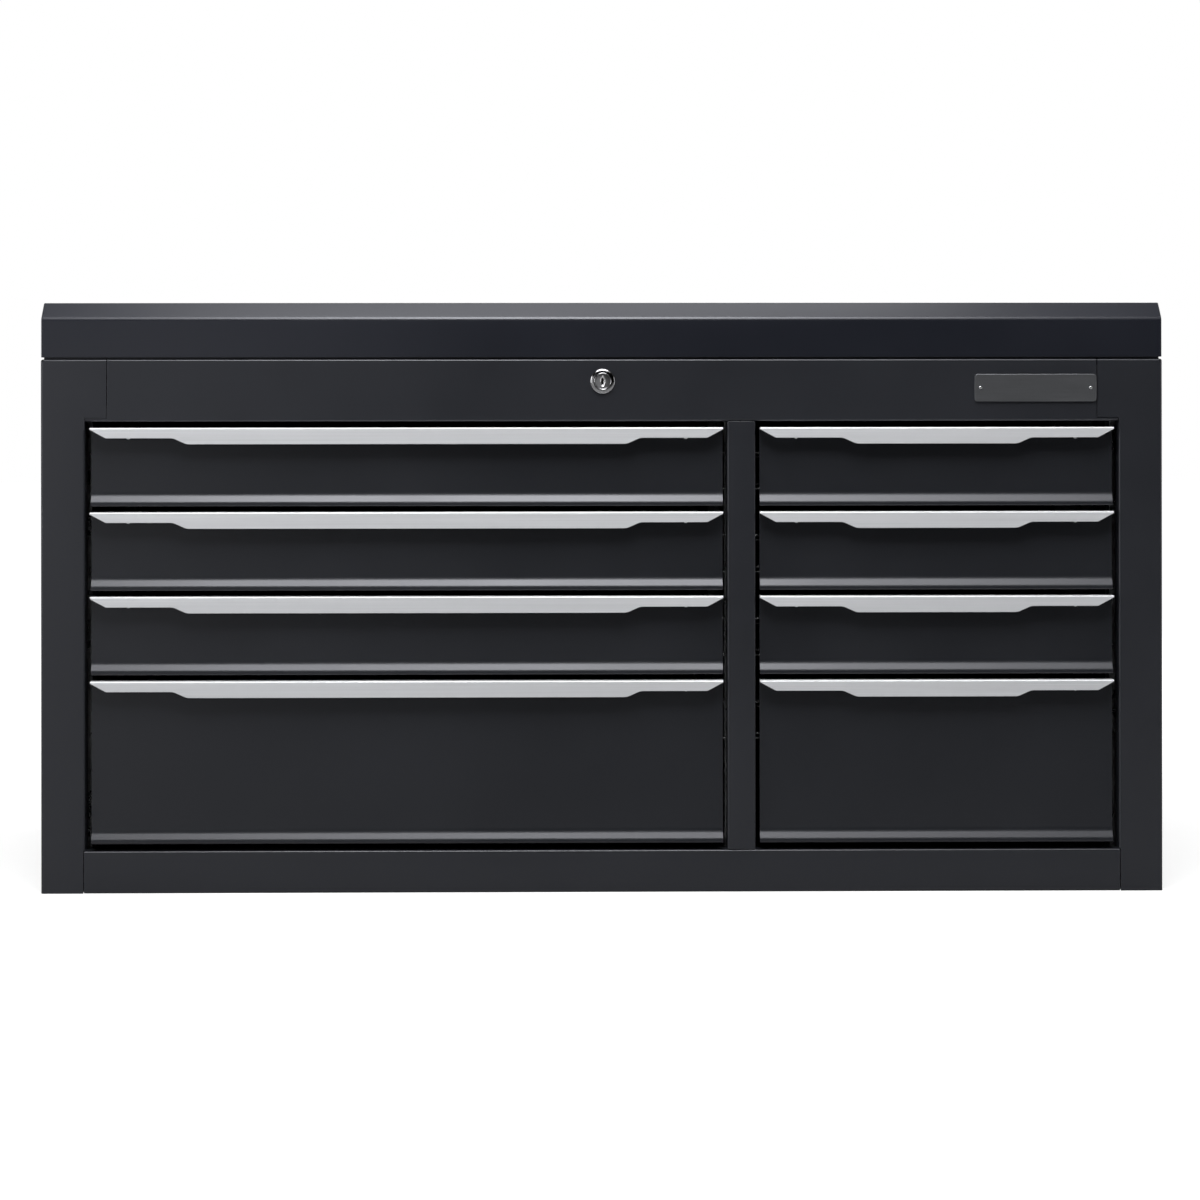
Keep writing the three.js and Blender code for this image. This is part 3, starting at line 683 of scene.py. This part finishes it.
def side_panel(sign, name):
    top = BODY_TOP - EDGE_BEND
    low_return, high_return = OPENING_BOTTOM + SEAT, OPENING_TOP - SEAT
    tab_bottom = OPENING_TOP + TAB_LIFT
    corner = [(STILE_FOOT, FRONT), (0, FRONT, CORNER_BEND), (0, BACK)]
    wall = sheet(corner, -SHEET, "z", (0, top))
    lap = STILE_FOOT - LAP
    stile = sheet(
        [(STILE, FRONT + RETURN_DEPTH), (STILE, FRONT, EDGE_BEND), (lap, FRONT)],
        -SHEET, "z", (low_return, high_return),
    )
    face = (FRONT, FRONT + SHEET)
    neck = block((lap, STILE), face, (high_return - LAP, tab_bottom + LAP))
    head = block((lap, TAB), face, (tab_bottom, top))
    rim = [
        (0, top - LAP),
        (0, BODY_TOP, EDGE_BEND),
        (RIM_STEP, BODY_TOP, STEP_BEND),
        (RIM_STEP, BODY_TOP + RIM_RISE),
    ]
    side_rim = sheet(rim, -SHEET, "y", (FRONT + RIM_STEP + 2 * JOIN_EASE, BACK - RIM_STEP))
    # The front rim sits a hair inside the side rim, so that no two faces of the join coincide
    front_line = [(FRONT + JOIN_EASE + u, v - JOIN_EASE, *radius) for u, v, *radius in rim]
    front_rim = sheet(front_line, -SHEET, "x", (RIM_STEP - 2 * JOIN_EASE, TAB))
    fold_front = BACK - 2 * SHEET - SEAT
    foot = block((0, REAR_FOLD), (FRONT + CORNER_BEND, BACK), (0, SHEET))
    flange = block((0, REAR_FOLD), (fold_front, fold_front + SHEET), (0, high_return))
    folds = (wall, stile, neck, head, side_rim, front_rim, foot, flange)
    shapes = [on_side(sign, shape) for shape in folds]
    return smooth(soften(carved(name, shapes[0], joins=shapes[1:]), FINE_EDGE))


def top_rail():
    low, high = HALF - STILE - SEAM, HALF - TAB - SEAM
    top = BODY_TOP - EDGE_BEND
    shoulder = OPENING_TOP + TAB_LIFT - SEAM
    face = (FRONT, FRONT + SHEET)
    fold = [(FRONT + RETURN_DEPTH, OPENING_TOP), (FRONT, OPENING_TOP, EDGE_BEND), (FRONT, shoulder)]
    lower = sheet(fold, -SHEET, "x", (-low, low))
    middle = block((-high, high), face, (shoulder - SEAM, top))
    rim = [
        (FRONT, top - LAP),
        (FRONT, BODY_TOP, EDGE_BEND),
        (FRONT + RIM_STEP, BODY_TOP, STEP_BEND),
        (FRONT + RIM_STEP, BODY_TOP + RIM_RISE),
    ]
    upper = sheet(rim, -SHEET, "x", (-high, high))
    hole = turned(
        [(0, -OVERRUN), (LOCK_BORE, -OVERRUN), (LOCK_BORE, SHEET + OVERRUN), (0, SHEET + OVERRUN)],
        (LOCK_X, FRONT, LOCK_Z), (0, 1, 0),
    )
    piece = carved("top_rail_formed", middle, joins=[lower, upper], cuts=[hole])
    return smooth(soften(piece, FINE_EDGE))


def bottom_rail():
    low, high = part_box("bottom_rail")
    back = FRONT + RETURN_DEPTH
    line = [(back, high.z), (FRONT, high.z, EDGE_BEND), (FRONT, low.z, EDGE_BEND), (back, low.z)]
    piece = made("bottom_rail_formed", sheet(line, SHEET, "x", (low.x, high.x)))
    return smooth(soften(piece, FINE_EDGE))


def center_post():
    low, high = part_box("center_post")
    back = FRONT + RETURN_DEPTH
    line = [(low.x, back), (low.x, FRONT, EDGE_BEND), (high.x, FRONT, EDGE_BEND), (high.x, back)]
    piece = made("center_post_formed", sheet(line, SHEET, "z", (low.z, high.z)))
    return smooth(soften(piece, EASED_EDGE))


# Lid: one shell with rounded bends and ends

def lid_shell():
    low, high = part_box("lid_shell")
    shoulder = low.z + SKIRT
    slope = math.tan(math.atan2(high.z - shoulder, CHAMFER_RUN) / 2)

    def outline(inset, bottom):
        return [
            (low.y + inset, bottom),
            (low.y + inset, shoulder - inset * slope, SHOULDER_BEND - inset),
            (low.y + CHAMFER_RUN + inset * slope, high.z - inset, CROWN_BEND - inset),
            (high.y - inset, high.z - inset, CROWN_BEND - inset),
            (high.y - inset, bottom),
        ]

    turns = [math.pi / 2 * k / LID_END_STEPS for k in range(LID_END_STEPS + 1)]
    ends = [(LID_END_BEND * (1 - math.cos(t)), LID_END_BEND * (1 - math.sin(t))) for t in turns]
    stations = [(low.x + along, inset) for along, inset in ends]
    stations += [(high.x - along, inset) for along, inset in reversed(ends)]
    sections = []
    for x, inset in stations:
        line = fillet(outline(inset, low.z), closed=True)
        sections.append([place("x", *point, x) for point in line])
    inside = plate(outline(SHEET, low.z - OVERRUN), "x", (low.x + SHEET, high.x - SHEET))
    return smooth(soften(carved("lid_shell_formed", loft(sections), cuts=[inside]), EASED_EDGE))


# Drawers

def drawer_front(node):
    """Front sheet with its bevel, lip and hem, and a cap in each end."""
    low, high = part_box(node)
    back = low.y + SET_BACK
    foot, head = low.z, high.z
    crease = foot + LIP + BEVEL_RISE
    line = [
        (back + HEAD_FOLD, head),
        (back, head, HEAD_BEND),
        (back, crease, CREASE_BEND),
        (low.y, foot + LIP, LIP_BEND),
        (low.y, foot, HEM_BEND),
        (back + HEM, foot, HEM_BEND),
        (back + HEM, foot + HEM_RISE),
    ]
    skin = sheet(line, DRAWER_SHEET, "x", (low.x, high.x))
    under_clip = head + PULL_PLATE - CLIP
    cap = [
        *line[1:5],
        (back + END_FOLD, foot),
        (back + END_FOLD, under_clip),
        (back + HEAD_FOLD, under_clip),
        (back + HEAD_FOLD, head),
    ]
    spans = [(low.x, low.x + DRAWER_SHEET), (high.x - DRAWER_SHEET, high.x)]
    piece = carved(f"{node}_formed", skin, joins=[plate(cap, "x", span) for span in spans])
    return smooth(soften(piece, FRONT_EDGE))


def drawer_pull(node):
    """Full-width pull that clips over the front's head, deep in its middle and tapered at its tips."""
    low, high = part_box(node)
    top = high.z
    plate_back = low.y + PULL_PLATE
    clip_front = high.y - PULL_PLATE
    profile = [
        (low.y, top - DEEP),
        (plate_back, top - DEEP),
        (plate_back, top - PULL_PLATE, PULL_CORNER),
        (clip_front, top - PULL_PLATE),
        (clip_front, top - CLIP),
        (high.y, top - CLIP),
        (high.y, top, CLIP_BEND),
        (low.y, top, PULL_NOSE),
    ]
    bar = plate(profile, "x", (low.x, high.x))
    ramp_start = TIP_TAPER + SHALLOW_RUN
    edge = [
        (-OVERRUN, PULL_PLATE - OVERRUN * (SHALLOW - PULL_PLATE) / TIP_TAPER),
        (TIP_TAPER, SHALLOW, TIP_BEND),
        (ramp_start, SHALLOW, RAMP_BEND),
        (ramp_start + RAMP, DEEP, RAMP_BEND),
    ]
    left = [(low.x + along, top - down, *radius) for along, down, *radius in edge]
    right = [(high.x - along, top - down, *radius) for along, down, *radius in reversed(edge)]
    below = top - DEEP - OVERRUN
    # What is cut away below the edge line at each end. The middle keeps its full depth.
    ends = []
    for line in (left, right):
        inner = line[-1] if line is left else line[0]
        outer = line[0] if line is left else line[-1]
        reach = CUT_REACH if line is left else -CUT_REACH
        corner = (inner[0] + reach, top - DEEP)
        points = [*line, corner, (corner[0], below), (outer[0], below)]
        if line is right:
            points = [corner, *line, (outer[0], below), (corner[0], below)]
        ends.append(plate(points, "y", (low.y - OVERRUN, plate_back + CUT_DEPTH)))
    return smooth(soften(carved(f"{node}_formed", bar, cuts=ends), BOLD_EDGE))


def tray(node):
    """Folded tray with rolled side rims, without its runner members."""
    low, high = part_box(node)
    left, right = low.x + MEMBER_REACH, high.x - MEMBER_REACH
    sheet_line = [
        (left + ROLL, high.z - ROLL_DROP),
        (left, high.z, ROLL_BEND),
        (left, low.z, TRAY_BEND),
        (right, low.z, TRAY_BEND),
        (right, high.z, ROLL_BEND),
        (right - ROLL, high.z - ROLL_DROP),
    ]
    trough = sheet(sheet_line, DRAWER_SHEET, "y", (low.y, high.y))
    inner = (left + DRAWER_SHEET / 2, right - DRAWER_SHEET / 2)
    # Each of the joined parts starts a hair further in than the last, so that no faces coincide
    front, back = low.y + JOIN_EASE, high.y - JOIN_EASE
    wall_span = (low.z + DRAWER_SHEET / 2, high.z - WALL_DROP)
    walls = [
        block(inner, (front, front + DRAWER_SHEET), wall_span),
        block(inner, (back - DRAWER_SHEET, back), wall_span),
    ]
    roll_ends = (inner[0] + JOIN_EASE, inner[1] - JOIN_EASE)
    front, back = front + JOIN_EASE, back - JOIN_EASE
    roll_span = (high.z - ROLL_LOW, high.z - ROLL_HIGH)
    rolls = [
        block(roll_ends, (front, front + ROLL), roll_span),
        block(roll_ends, (back - ROLL, back), roll_span),
    ]
    piece = carved(f"{node}_formed", trough, joins=[*walls, *rolls])
    return smooth(soften(piece, EASED_EDGE))


def runner_member(node, sign):
    """The runner's moving channel on one side of a tray, open away from the tray."""
    low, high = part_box(node)
    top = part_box(node.replace("tray", "pull"))[1].z
    middle = top - RUNNER_DROP
    wall = high.x - MEMBER_REACH if sign > 0 else low.x + MEMBER_REACH
    near, far = wall + sign * MEMBER_SEAT, wall + sign * MEMBER_DEPTH
    line = [
        (far, middle + MEMBER_HALF),
        (near, middle + MEMBER_HALF, MEMBER_BEND),
        (near, middle - MEMBER_HALF, MEMBER_BEND),
        (far, middle - MEMBER_HALF),
    ]
    start = FRONT + RUNNER_START
    side = "right" if sign > 0 else "left"
    shape = sheet(line, -sign * MEMBER_SHEET, "y", (start, high.y))
    return smooth(soften(made(node.replace("tray", f"{side}_member"), shape), EASED_EDGE))


# Small heads of rivets and screws

def heads(name, places, normal, size, material, body):
    """Domed heads, all in one mesh."""
    radius, height = size
    profile = [(0, -HEAD_ROOT), (radius, -HEAD_ROOT)]
    profile += [(radius * out, height * up) for out, up in HEAD_CURVE]
    shapes = [turned(profile, point, normal, HEAD_FACETS) for point in places]
    return finish(smooth(made(name, merged(*shapes)), ROUND_ANGLE), material, body)


# Lock

def lock_barrel():
    """Domed bezel with a thin bright lip round the plug, and the barrel behind it."""
    bore = PLUG_RADIUS + PLUG_PLAY
    proud = FRONT - SEAT - BEZEL_FRONT
    lip = [(bore + out, down) for out, down in LIP_CURVE]
    crown = bore + DOME_START
    dome = []
    for k in range(DOME_STEPS + 1):
        turn = math.pi / 2 * k / DOME_STEPS
        radius = crown + (BEZEL_RADIUS - crown) * math.sin(turn)
        dome.append((radius, DOME_DROP + (proud - DOME_DROP) * (1 - math.cos(turn))))
    rest = LOCK_HIGH.y - BEZEL_FRONT
    barrel = [(LOCK_BORE - SEAT, proud), (LOCK_BORE - SEAT, rest), (bore, rest)]
    shape = turned([*lip, *dome, *barrel], (LOCK_X, BEZEL_FRONT, LOCK_Z), (0, 1, 0), LOCK_FACETS)
    return smooth(made("lock_barrel_formed", shape), ROUND_ANGLE)


def lock_plug():
    """Plug with a flat face, a square tail and a slot."""
    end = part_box("lock_plug")[1].y - PLUG_FRONT
    profile = [
        (0, PLUG_FACE),
        (PLUG_RADIUS * PLUG_FLAT, PLUG_FACE),
        (PLUG_RADIUS, PLUG_FACE + PLUG_EASE),
        (PLUG_RADIUS, end - TAIL_LENGTH),
        (0, end - TAIL_LENGTH),
    ]
    body = turned(profile, (LOCK_X, PLUG_FRONT, LOCK_Z), (0, 1, 0), LOCK_FACETS)
    square = block(
        (LOCK_X - TAIL / 2, LOCK_X + TAIL / 2),
        (PLUG_FRONT + end - TAIL_LENGTH - PLUG_EASE, PLUG_FRONT + end),
        (LOCK_Z - TAIL / 2, LOCK_Z + TAIL / 2),
    )
    slot = block(
        (LOCK_X - SLOT_WIDTH / 2, LOCK_X + SLOT_WIDTH / 2),
        (PLUG_FRONT - OVERRUN, PLUG_FRONT + SLOT_DEPTH),
        (LOCK_Z - SLOT_HEIGHT / 2, LOCK_Z + SLOT_HEIGHT / 2),
    )
    piece = carved("lock_plug_formed", body, joins=[square], cuts=[slot])
    return smooth(soften(piece, PLUG_EDGE), ROUND_ANGLE)


def slot_ring():
    """Bright oval round the key slot, dished in towards it."""
    outer = (RING_WIDTH, RING_HEIGHT)
    crest = (RING_WIDTH - RING_CREST, RING_HEIGHT - RING_CREST)
    inner = (SLOT_WIDTH, SLOT_HEIGHT + RING_OPENING)
    section = [
        (outer, RING_FOOT),
        (outer, RING_SHOULDER),
        (crest, 0),
        (inner, RING_DISH),
        (inner, RING_FOOT),
    ]
    count = len(section)
    vertices, faces = [], []
    for i in range(RING_FACETS):
        around = 2 * math.pi * i / RING_FACETS
        for (width, height), depth in section:
            u, v = width / 2 * math.cos(around), height / 2 * math.sin(around)
            vertices.append((LOCK_X + u, PLUG_FRONT + depth, LOCK_Z + v))
    for i in range(RING_FACETS):
        j = (i + 1) % RING_FACETS
        for k in range(count):
            m = (k + 1) % count
            faces.append((i * count + k, i * count + m, j * count + m, j * count + k))
    return smooth(made("lock_slot_ring", (vertices, faces)), RING_ANGLE)


def lock_painted_slot_shade():
    """The dark floor and walls inside the key slot: a near-black box, painted shade for the slot's depth."""
    wide, tall = SLOT_WIDTH / 2 - SLOT_SHADE_INSET, SLOT_HEIGHT / 2 - SLOT_SHADE_INSET
    depths = (PLUG_FRONT + SLOT_SHADE_DEPTH, PLUG_FRONT + SLOT_DEPTH - SLOT_SHADE_INSET)
    signs = ((-1, -1), (1, -1), (1, 1), (-1, 1))
    outline = [(LOCK_X + u * wide, LOCK_Z + v * tall) for u, v in signs]
    return made("lock_painted_slot_shade", plate(outline, "y", depths))


# Gas struts

def pivots(side):
    """Places of a strut's two pivots at rest."""
    body = next(Vector(j["pos_m"]) for j in frame["joints"] if j["name"] == f"{side}_strut_swing")
    low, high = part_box(f"{side}_strut_lid_bracket")
    lid = Vector((body.x, (low.y + high.y) / 2, (low.z + high.z) / 2))
    return body, lid


def eye(centre):
    """A ring round a stud that lies along X."""
    half = EYE_WIDTH / 2
    profile = [
        (STUD_BORE, -half),
        (EYE_RADIUS - EYE_EASE, -half),
        (EYE_RADIUS, -half + EYE_EASE),
        (EYE_RADIUS, half - EYE_EASE),
        (EYE_RADIUS - EYE_EASE, half),
        (STUD_BORE, half),
    ]
    return turned(profile, centre, (1, 0, 0), ROD_FACETS)


def strut(side):
    """Rod and tube of one gas strut, each with an eye of its own on its stud."""
    body, lid = pivots(side)
    way = (lid - body).normalized()
    length = (lid - body).length
    rod_profile = [
        (0, ROD_START),
        (ROD_RADIUS, ROD_START),
        (ROD_RADIUS, ROD_LENGTH),
        (0, ROD_LENGTH),
    ]
    ferrule_profile = [
        (ROD_RADIUS * GRIP, FITTING_START),
        (FITTING_RADIUS, FITTING_START),
        (FITTING_RADIUS, FERRULE_END - FERRULE_EASE),
        (FERRULE_TIP, FERRULE_END),
        (ROD_RADIUS * GRIP, FERRULE_END),
    ]
    mouth = EYE_RADIUS + ROD_SHOW
    end = length - FITTING - EYE_RADIUS / 2
    tube_profile = [
        (0, ROD_LENGTH + FITTING),
        (ROD_BORE, ROD_LENGTH + FITTING),
        (ROD_BORE, mouth),
        *[(radius, mouth + along) for radius, along in TUBE_MOUTH],
        *[(radius, end - along) for radius, along in TUBE_END],
        (NECK_RADIUS, end),
        (NECK_RADIUS, length - NECK_START),
        (0, length - NECK_START),
    ]
    collar_profile = [
        (NECK_RADIUS * GRIP, end + COLLAR_START),
        (FITTING_RADIUS, end + COLLAR_START),
        (FITTING_RADIUS, length - FITTING_START),
        (NECK_RADIUS * GRIP, length - FITTING_START),
    ]
    rod = made(f"{side}_strut_rod_formed", turned(rod_profile, body, way, ROD_FACETS))
    stand_in(smooth(rod, ROUND_ANGLE), f"{side}_strut_rod", chrome)
    ferrule = turned(ferrule_profile, body, way, FITTING_FACETS)
    rod_eye = made(f"{side}_strut_rod_eye", merged(eye(body), ferrule))
    finish(smooth(rod_eye, ROUND_ANGLE), black_plastic, f"{side}_rod")
    tube = made(f"{side}_strut_tube_formed", turned(tube_profile, body, way, TUBE_FACETS))
    stand_in(smooth(tube, ROUND_ANGLE), f"{side}_strut_tube", strut_black)
    collar = turned(collar_profile, body, way, FITTING_FACETS)
    tube_eye = made(f"{side}_strut_tube_eye", merged(eye(lid), collar))
    finish(smooth(tube_eye, ROUND_ANGLE), black_plastic, f"{side}_tube")


# Piano hinge

def hinge_leaf(node, parity, up):
    """A leaf with every second knuckle. It goes up or down from the pin."""
    low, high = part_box(node)
    axis_y = high.y - KNUCKLE_RADIUS
    axis_z = high.z - KNUCKLE_RADIUS if up < 0 else low.z + KNUCKLE_RADIUS
    edge = axis_z + up * (KNUCKLE_RADIUS + LEAF_CLEARANCE)
    tip = low.z if up < 0 else high.z
    flat = block((low.x, high.x), (low.y, low.y + LEAF_SHEET), sorted((edge, tip)))
    pitch = (high.x - low.x) / KNUCKLES
    shapes = [flat]
    for i in range(parity, KNUCKLES, 2):
        start = low.x + i * pitch + KNUCKLE_GAP / 2
        run = pitch - KNUCKLE_GAP
        ring = [(PIN_BORE, 0), (KNUCKLE_RADIUS, 0), (KNUCKLE_RADIUS, run), (PIN_BORE, run)]
        shapes.append(turned(ring, (start, axis_y, axis_z), (1, 0, 0), KNUCKLE_FACETS))
        strip = sorted((axis_z + up * PIN_BORE * STRIP_START, edge + up * STRIP_LAP))
        shapes.append(block((start, start + run), (low.y, low.y + LEAF_SHEET * STRIP_SHARE), strip))
    return smooth(made(f"{node}_formed", merged(*shapes)), ROUND_ANGLE)


# Assembly

def build_carcass():
    for sign, side in ((-1, "left"), (1, "right")):
        node = f"{side}_side_panel"
        stand_in(side_panel(sign, f"{node}_formed"), node, carcass_paint)
    stand_in(top_rail(), "top_rail", carcass_paint)
    stand_in(bottom_rail(), "bottom_rail", carcass_paint)
    stand_in(center_post(), "center_post", carcass_paint)
    for node in ("back_panel", "bottom_panel", "center_partition", "till_floor"):
        dress(node, carcass_paint, EASED_EDGE)
    for bank in ("left", "right"):
        for end in ("outer", "inner"):
            dress(f"{bank}_{end}_runner_rack", zinc, EASED_EDGE)
    dress("blank_plate", plate_metal, BOLD_EDGE)


def build_drawers():
    for bank in ("left", "right"):
        for row in (1, 2, 3, 4):
            name = f"{bank}_drawer_{row}"
            stand_in(tray(f"{name}_tray"), f"{name}_tray", tray_paint)
            for sign in (-1, 1):
                finish(runner_member(f"{name}_tray", sign), zinc, name)
            stand_in(drawer_front(f"{name}_front"), f"{name}_front", front_paint)
            stand_in(drawer_pull(f"{name}_pull"), f"{name}_pull", pull_metal)
            low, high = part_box(f"{name}_pull")
            face = low.y + PROUD + SET_BACK
            level = high.z - SHALLOW + PULL_SCREW[0] * SCREW_LIFT
            spots = [(low.x + SCREW_IN, face, level), (high.x - SCREW_IN, face, level)]
            heads(f"{name}_screws", spots, (0, -1, 0), PULL_SCREW, zinc, name)


def build_lid():
    stand_in(lid_shell(), "lid_shell", lid_paint)
    dress("lid_brace", carcass_paint, EASED_EDGE)
    dress("lid_strike", zinc, EASED_EDGE)
    for side in ("left", "right"):
        dress(f"{side}_strut_body_bracket", zinc, EASED_EDGE)
        dress(f"{side}_strut_lid_bracket", zinc, EASED_EDGE)
        strut(side)
    stand_in(hinge_leaf("hinge_body_leaf", 0, -1), "hinge_body_leaf", carcass_paint)
    stand_in(hinge_leaf("hinge_lid_leaf", 1, 1), "hinge_lid_leaf", carcass_paint)
    dress("hinge_pin", zinc, EASED_EDGE)


def build_lock():
    stand_in(lock_barrel(), "lock_barrel", bezel_chrome)
    stand_in(lock_plug(), "lock_plug", satin_chrome)
    # A near-black box in the key slot is painted shade for its depth
    finish(lock_painted_slot_shade(), painted_slot_shade, "lock_core")
    finish(slot_ring(), chrome, "lock_core")
    dress("lock_nut", zinc, BOLD_EDGE)
    dress("lock_cam", zinc, BOLD_EDGE)


def build_rivets():
    low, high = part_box("hinge_body_leaf")
    width = high.x - low.x
    across = [low.x + width * (i + 0.5) / HINGE_RIVETS for i in range(HINGE_RIVETS)]
    leaf_face = low.y + LEAF_SHEET
    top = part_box("hinge_lid_leaf")[1].z
    rows = (("body", "carcass", low.z + HINGE_RIVET_IN), ("lid", "lid", top - HINGE_RIVET_IN))
    for leaf, body, level in rows:
        spots = [(x, leaf_face, level) for x in across]
        name = f"hinge_{leaf}_rivets"
        heads(name, spots, (0, 1, 0), HINGE_RIVET, carcass_paint, body)
    low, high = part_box("blank_plate")
    level = (low.z + high.z) / 2
    spots = [(x, low.y, level) for x in (low.x + PLATE_PIN_IN, high.x - PLATE_PIN_IN)]
    heads("plate_pins", spots, (0, -1, 0), PLATE_PIN, zinc, "carcass")
    edge = HALF - REAR_FOLD / 2
    levels = [OPENING_TOP * (i + BACK_RIVET_START) / BACK_RIVETS for i in range(BACK_RIVETS)]
    spots = [(x, BACK, level) for level in levels for x in (-edge, edge)]
    heads("back_rivets", spots, (0, 1, 0), BACK_RIVET, carcass_paint, "carcass")
    for side, sign in (("left", -1), ("right", 1)):
        for end, body in (("body", "carcass"), ("lid", "lid")):
            low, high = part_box(f"{side}_strut_{end}_bracket")
            x = (low.x if sign < 0 else high.x) - sign * BRACKET_SHEET
            level = (low.z + high.z) / 2
            spots = [(x, y, level) for y in (low.y + BRACKET_RIVET_IN, high.y - BRACKET_RIVET_IN)]
            name = f"{side}_{end}_bracket_rivets"
            heads(name, spots, (-sign, 0, 0), BRACKET_RIVET, zinc, body)


# Floor, light and camera

def sees_white(tree, depth, gloss_ramp):
    """1 for rays that meet the white background: the camera's, those through glass, and gloss
    that looks past the chest to the back. Gloss that looks to the front meets a dark room."""
    rays = tree.nodes.new("ShaderNodeLightPath").outputs
    gloss = combined(tree, "MULTIPLY", rays["Is Glossy Ray"], mapped(tree, depth, gloss_ramp, (0, 1)))
    direct = combined(tree, "MAXIMUM", rays["Is Camera Ray"], rays["Is Transmission Ray"])
    return combined(tree, "MAXIMUM", direct, gloss)


def floor():
    """Pale floor that the camera sees as white, with the chest's soft shadow kept."""
    corners = [(u * FLOOR_REACH, v * FLOOR_REACH) for u, v in ((-1, -1), (1, -1), (1, 1), (-1, 1))]
    base = made("floor", plate(corners, "z", (-FLOOR_DEPTH, 0)))
    material = blank("floor_white", FLOOR_COLOR, FLOOR_ROUGHNESS, level=0.0)
    tree = material.node_tree
    where = tree.nodes.new("ShaderNodeTexCoord").outputs["Object"]
    split = tree.nodes.new("ShaderNodeSeparateXYZ")
    tree.links.new(where, split.inputs["Vector"])
    reach = tree.nodes.new("ShaderNodeVectorMath")
    reach.operation = "LENGTH"
    tree.links.new(where, reach.inputs[0])
    rise = mapped(tree, reach.outputs["Value"], GLOW_RAMP, (FLOOR_GLOW, 1))
    glow = combined(tree, "MULTIPLY", sees_white(tree, split.outputs["Y"], FLOOR_GLOSS_RAMP), rise)
    shader = shader_of(material)
    shader.inputs["Emission Color"].default_value = (1, 1, 1, 1)
    tree.links.new(glow, shader.inputs["Emission Strength"])
    base.data.materials.append(material)


def room():
    """White to the camera. It lights the chest from the sides and the back, and is dark in front."""
    world = bpy.data.worlds.new("studio")
    bpy.context.scene.world = world
    world.use_nodes = True
    tree = world.node_tree
    split = tree.nodes.new("ShaderNodeSeparateXYZ")
    tree.links.new(tree.nodes.new("ShaderNodeTexCoord").outputs["Generated"], split.inputs["Vector"])
    depth = split.outputs["Y"]
    level = tree.nodes.new("ShaderNodeMix")
    level.data_type = "FLOAT"
    tree.links.new(sees_white(tree, depth, ROOM_GLOSS_RAMP), level.inputs["Factor"])
    tree.links.new(mapped(tree, depth, ROOM_RAMP, (0, ROOM_LEVEL)), level.inputs["A"])
    level.inputs["B"].default_value = 1.0
    ground = tree.nodes["Background"]
    ground.inputs["Color"].default_value = (1, 1, 1, 1)
    tree.links.new(level.outputs["Result"], ground.inputs["Strength"])


def lamps():
    for name, centre, width, height, brightness in SOFTBOXES:
        lamp = bpy.data.lights.new(name, "AREA")
        lamp.shape = "RECTANGLE"
        lamp.size, lamp.size_y = width, height
        lamp.energy = brightness * math.pi * width * height
        light = bpy.data.objects.new(name, lamp)
        light.location = centre
        towards = Vector((0, FRONT, AIM_HEIGHT)) - Vector(centre)
        light.rotation_euler = towards.to_track_quat("-Z", "Y").to_euler()
        bpy.context.scene.collection.objects.link(light)


def camera():
    lens = bpy.data.cameras.new("photo_view")
    lens.lens = LENS
    lens.sensor_width = SENSOR
    lens.shift_y = (FRAME_MIDDLE - CAMERA_HEIGHT) / (PIXEL * FRAME_PIXELS)
    viewer = bpy.data.objects.new("photo_view", lens)
    viewer.location = (CAMERA_SIDE, FRONT - DISTANCE, CAMERA_HEIGHT)
    upright = Matrix.Rotation(math.pi / 2, 4, "X")
    turn, roll = Matrix.Rotation(-TURN, 4, "Z"), Matrix.Rotation(-TILT, 4, "Z")
    viewer.rotation_euler = (turn @ upright @ roll).to_euler()
    bpy.context.scene.collection.objects.link(viewer)
    bpy.context.scene.camera = viewer


build_carcass()
build_drawers()
build_lid()
build_lock()
build_rivets()
floor()
room()
lamps()
camera()
bpy.context.scene.view_settings.view_transform = "Standard"
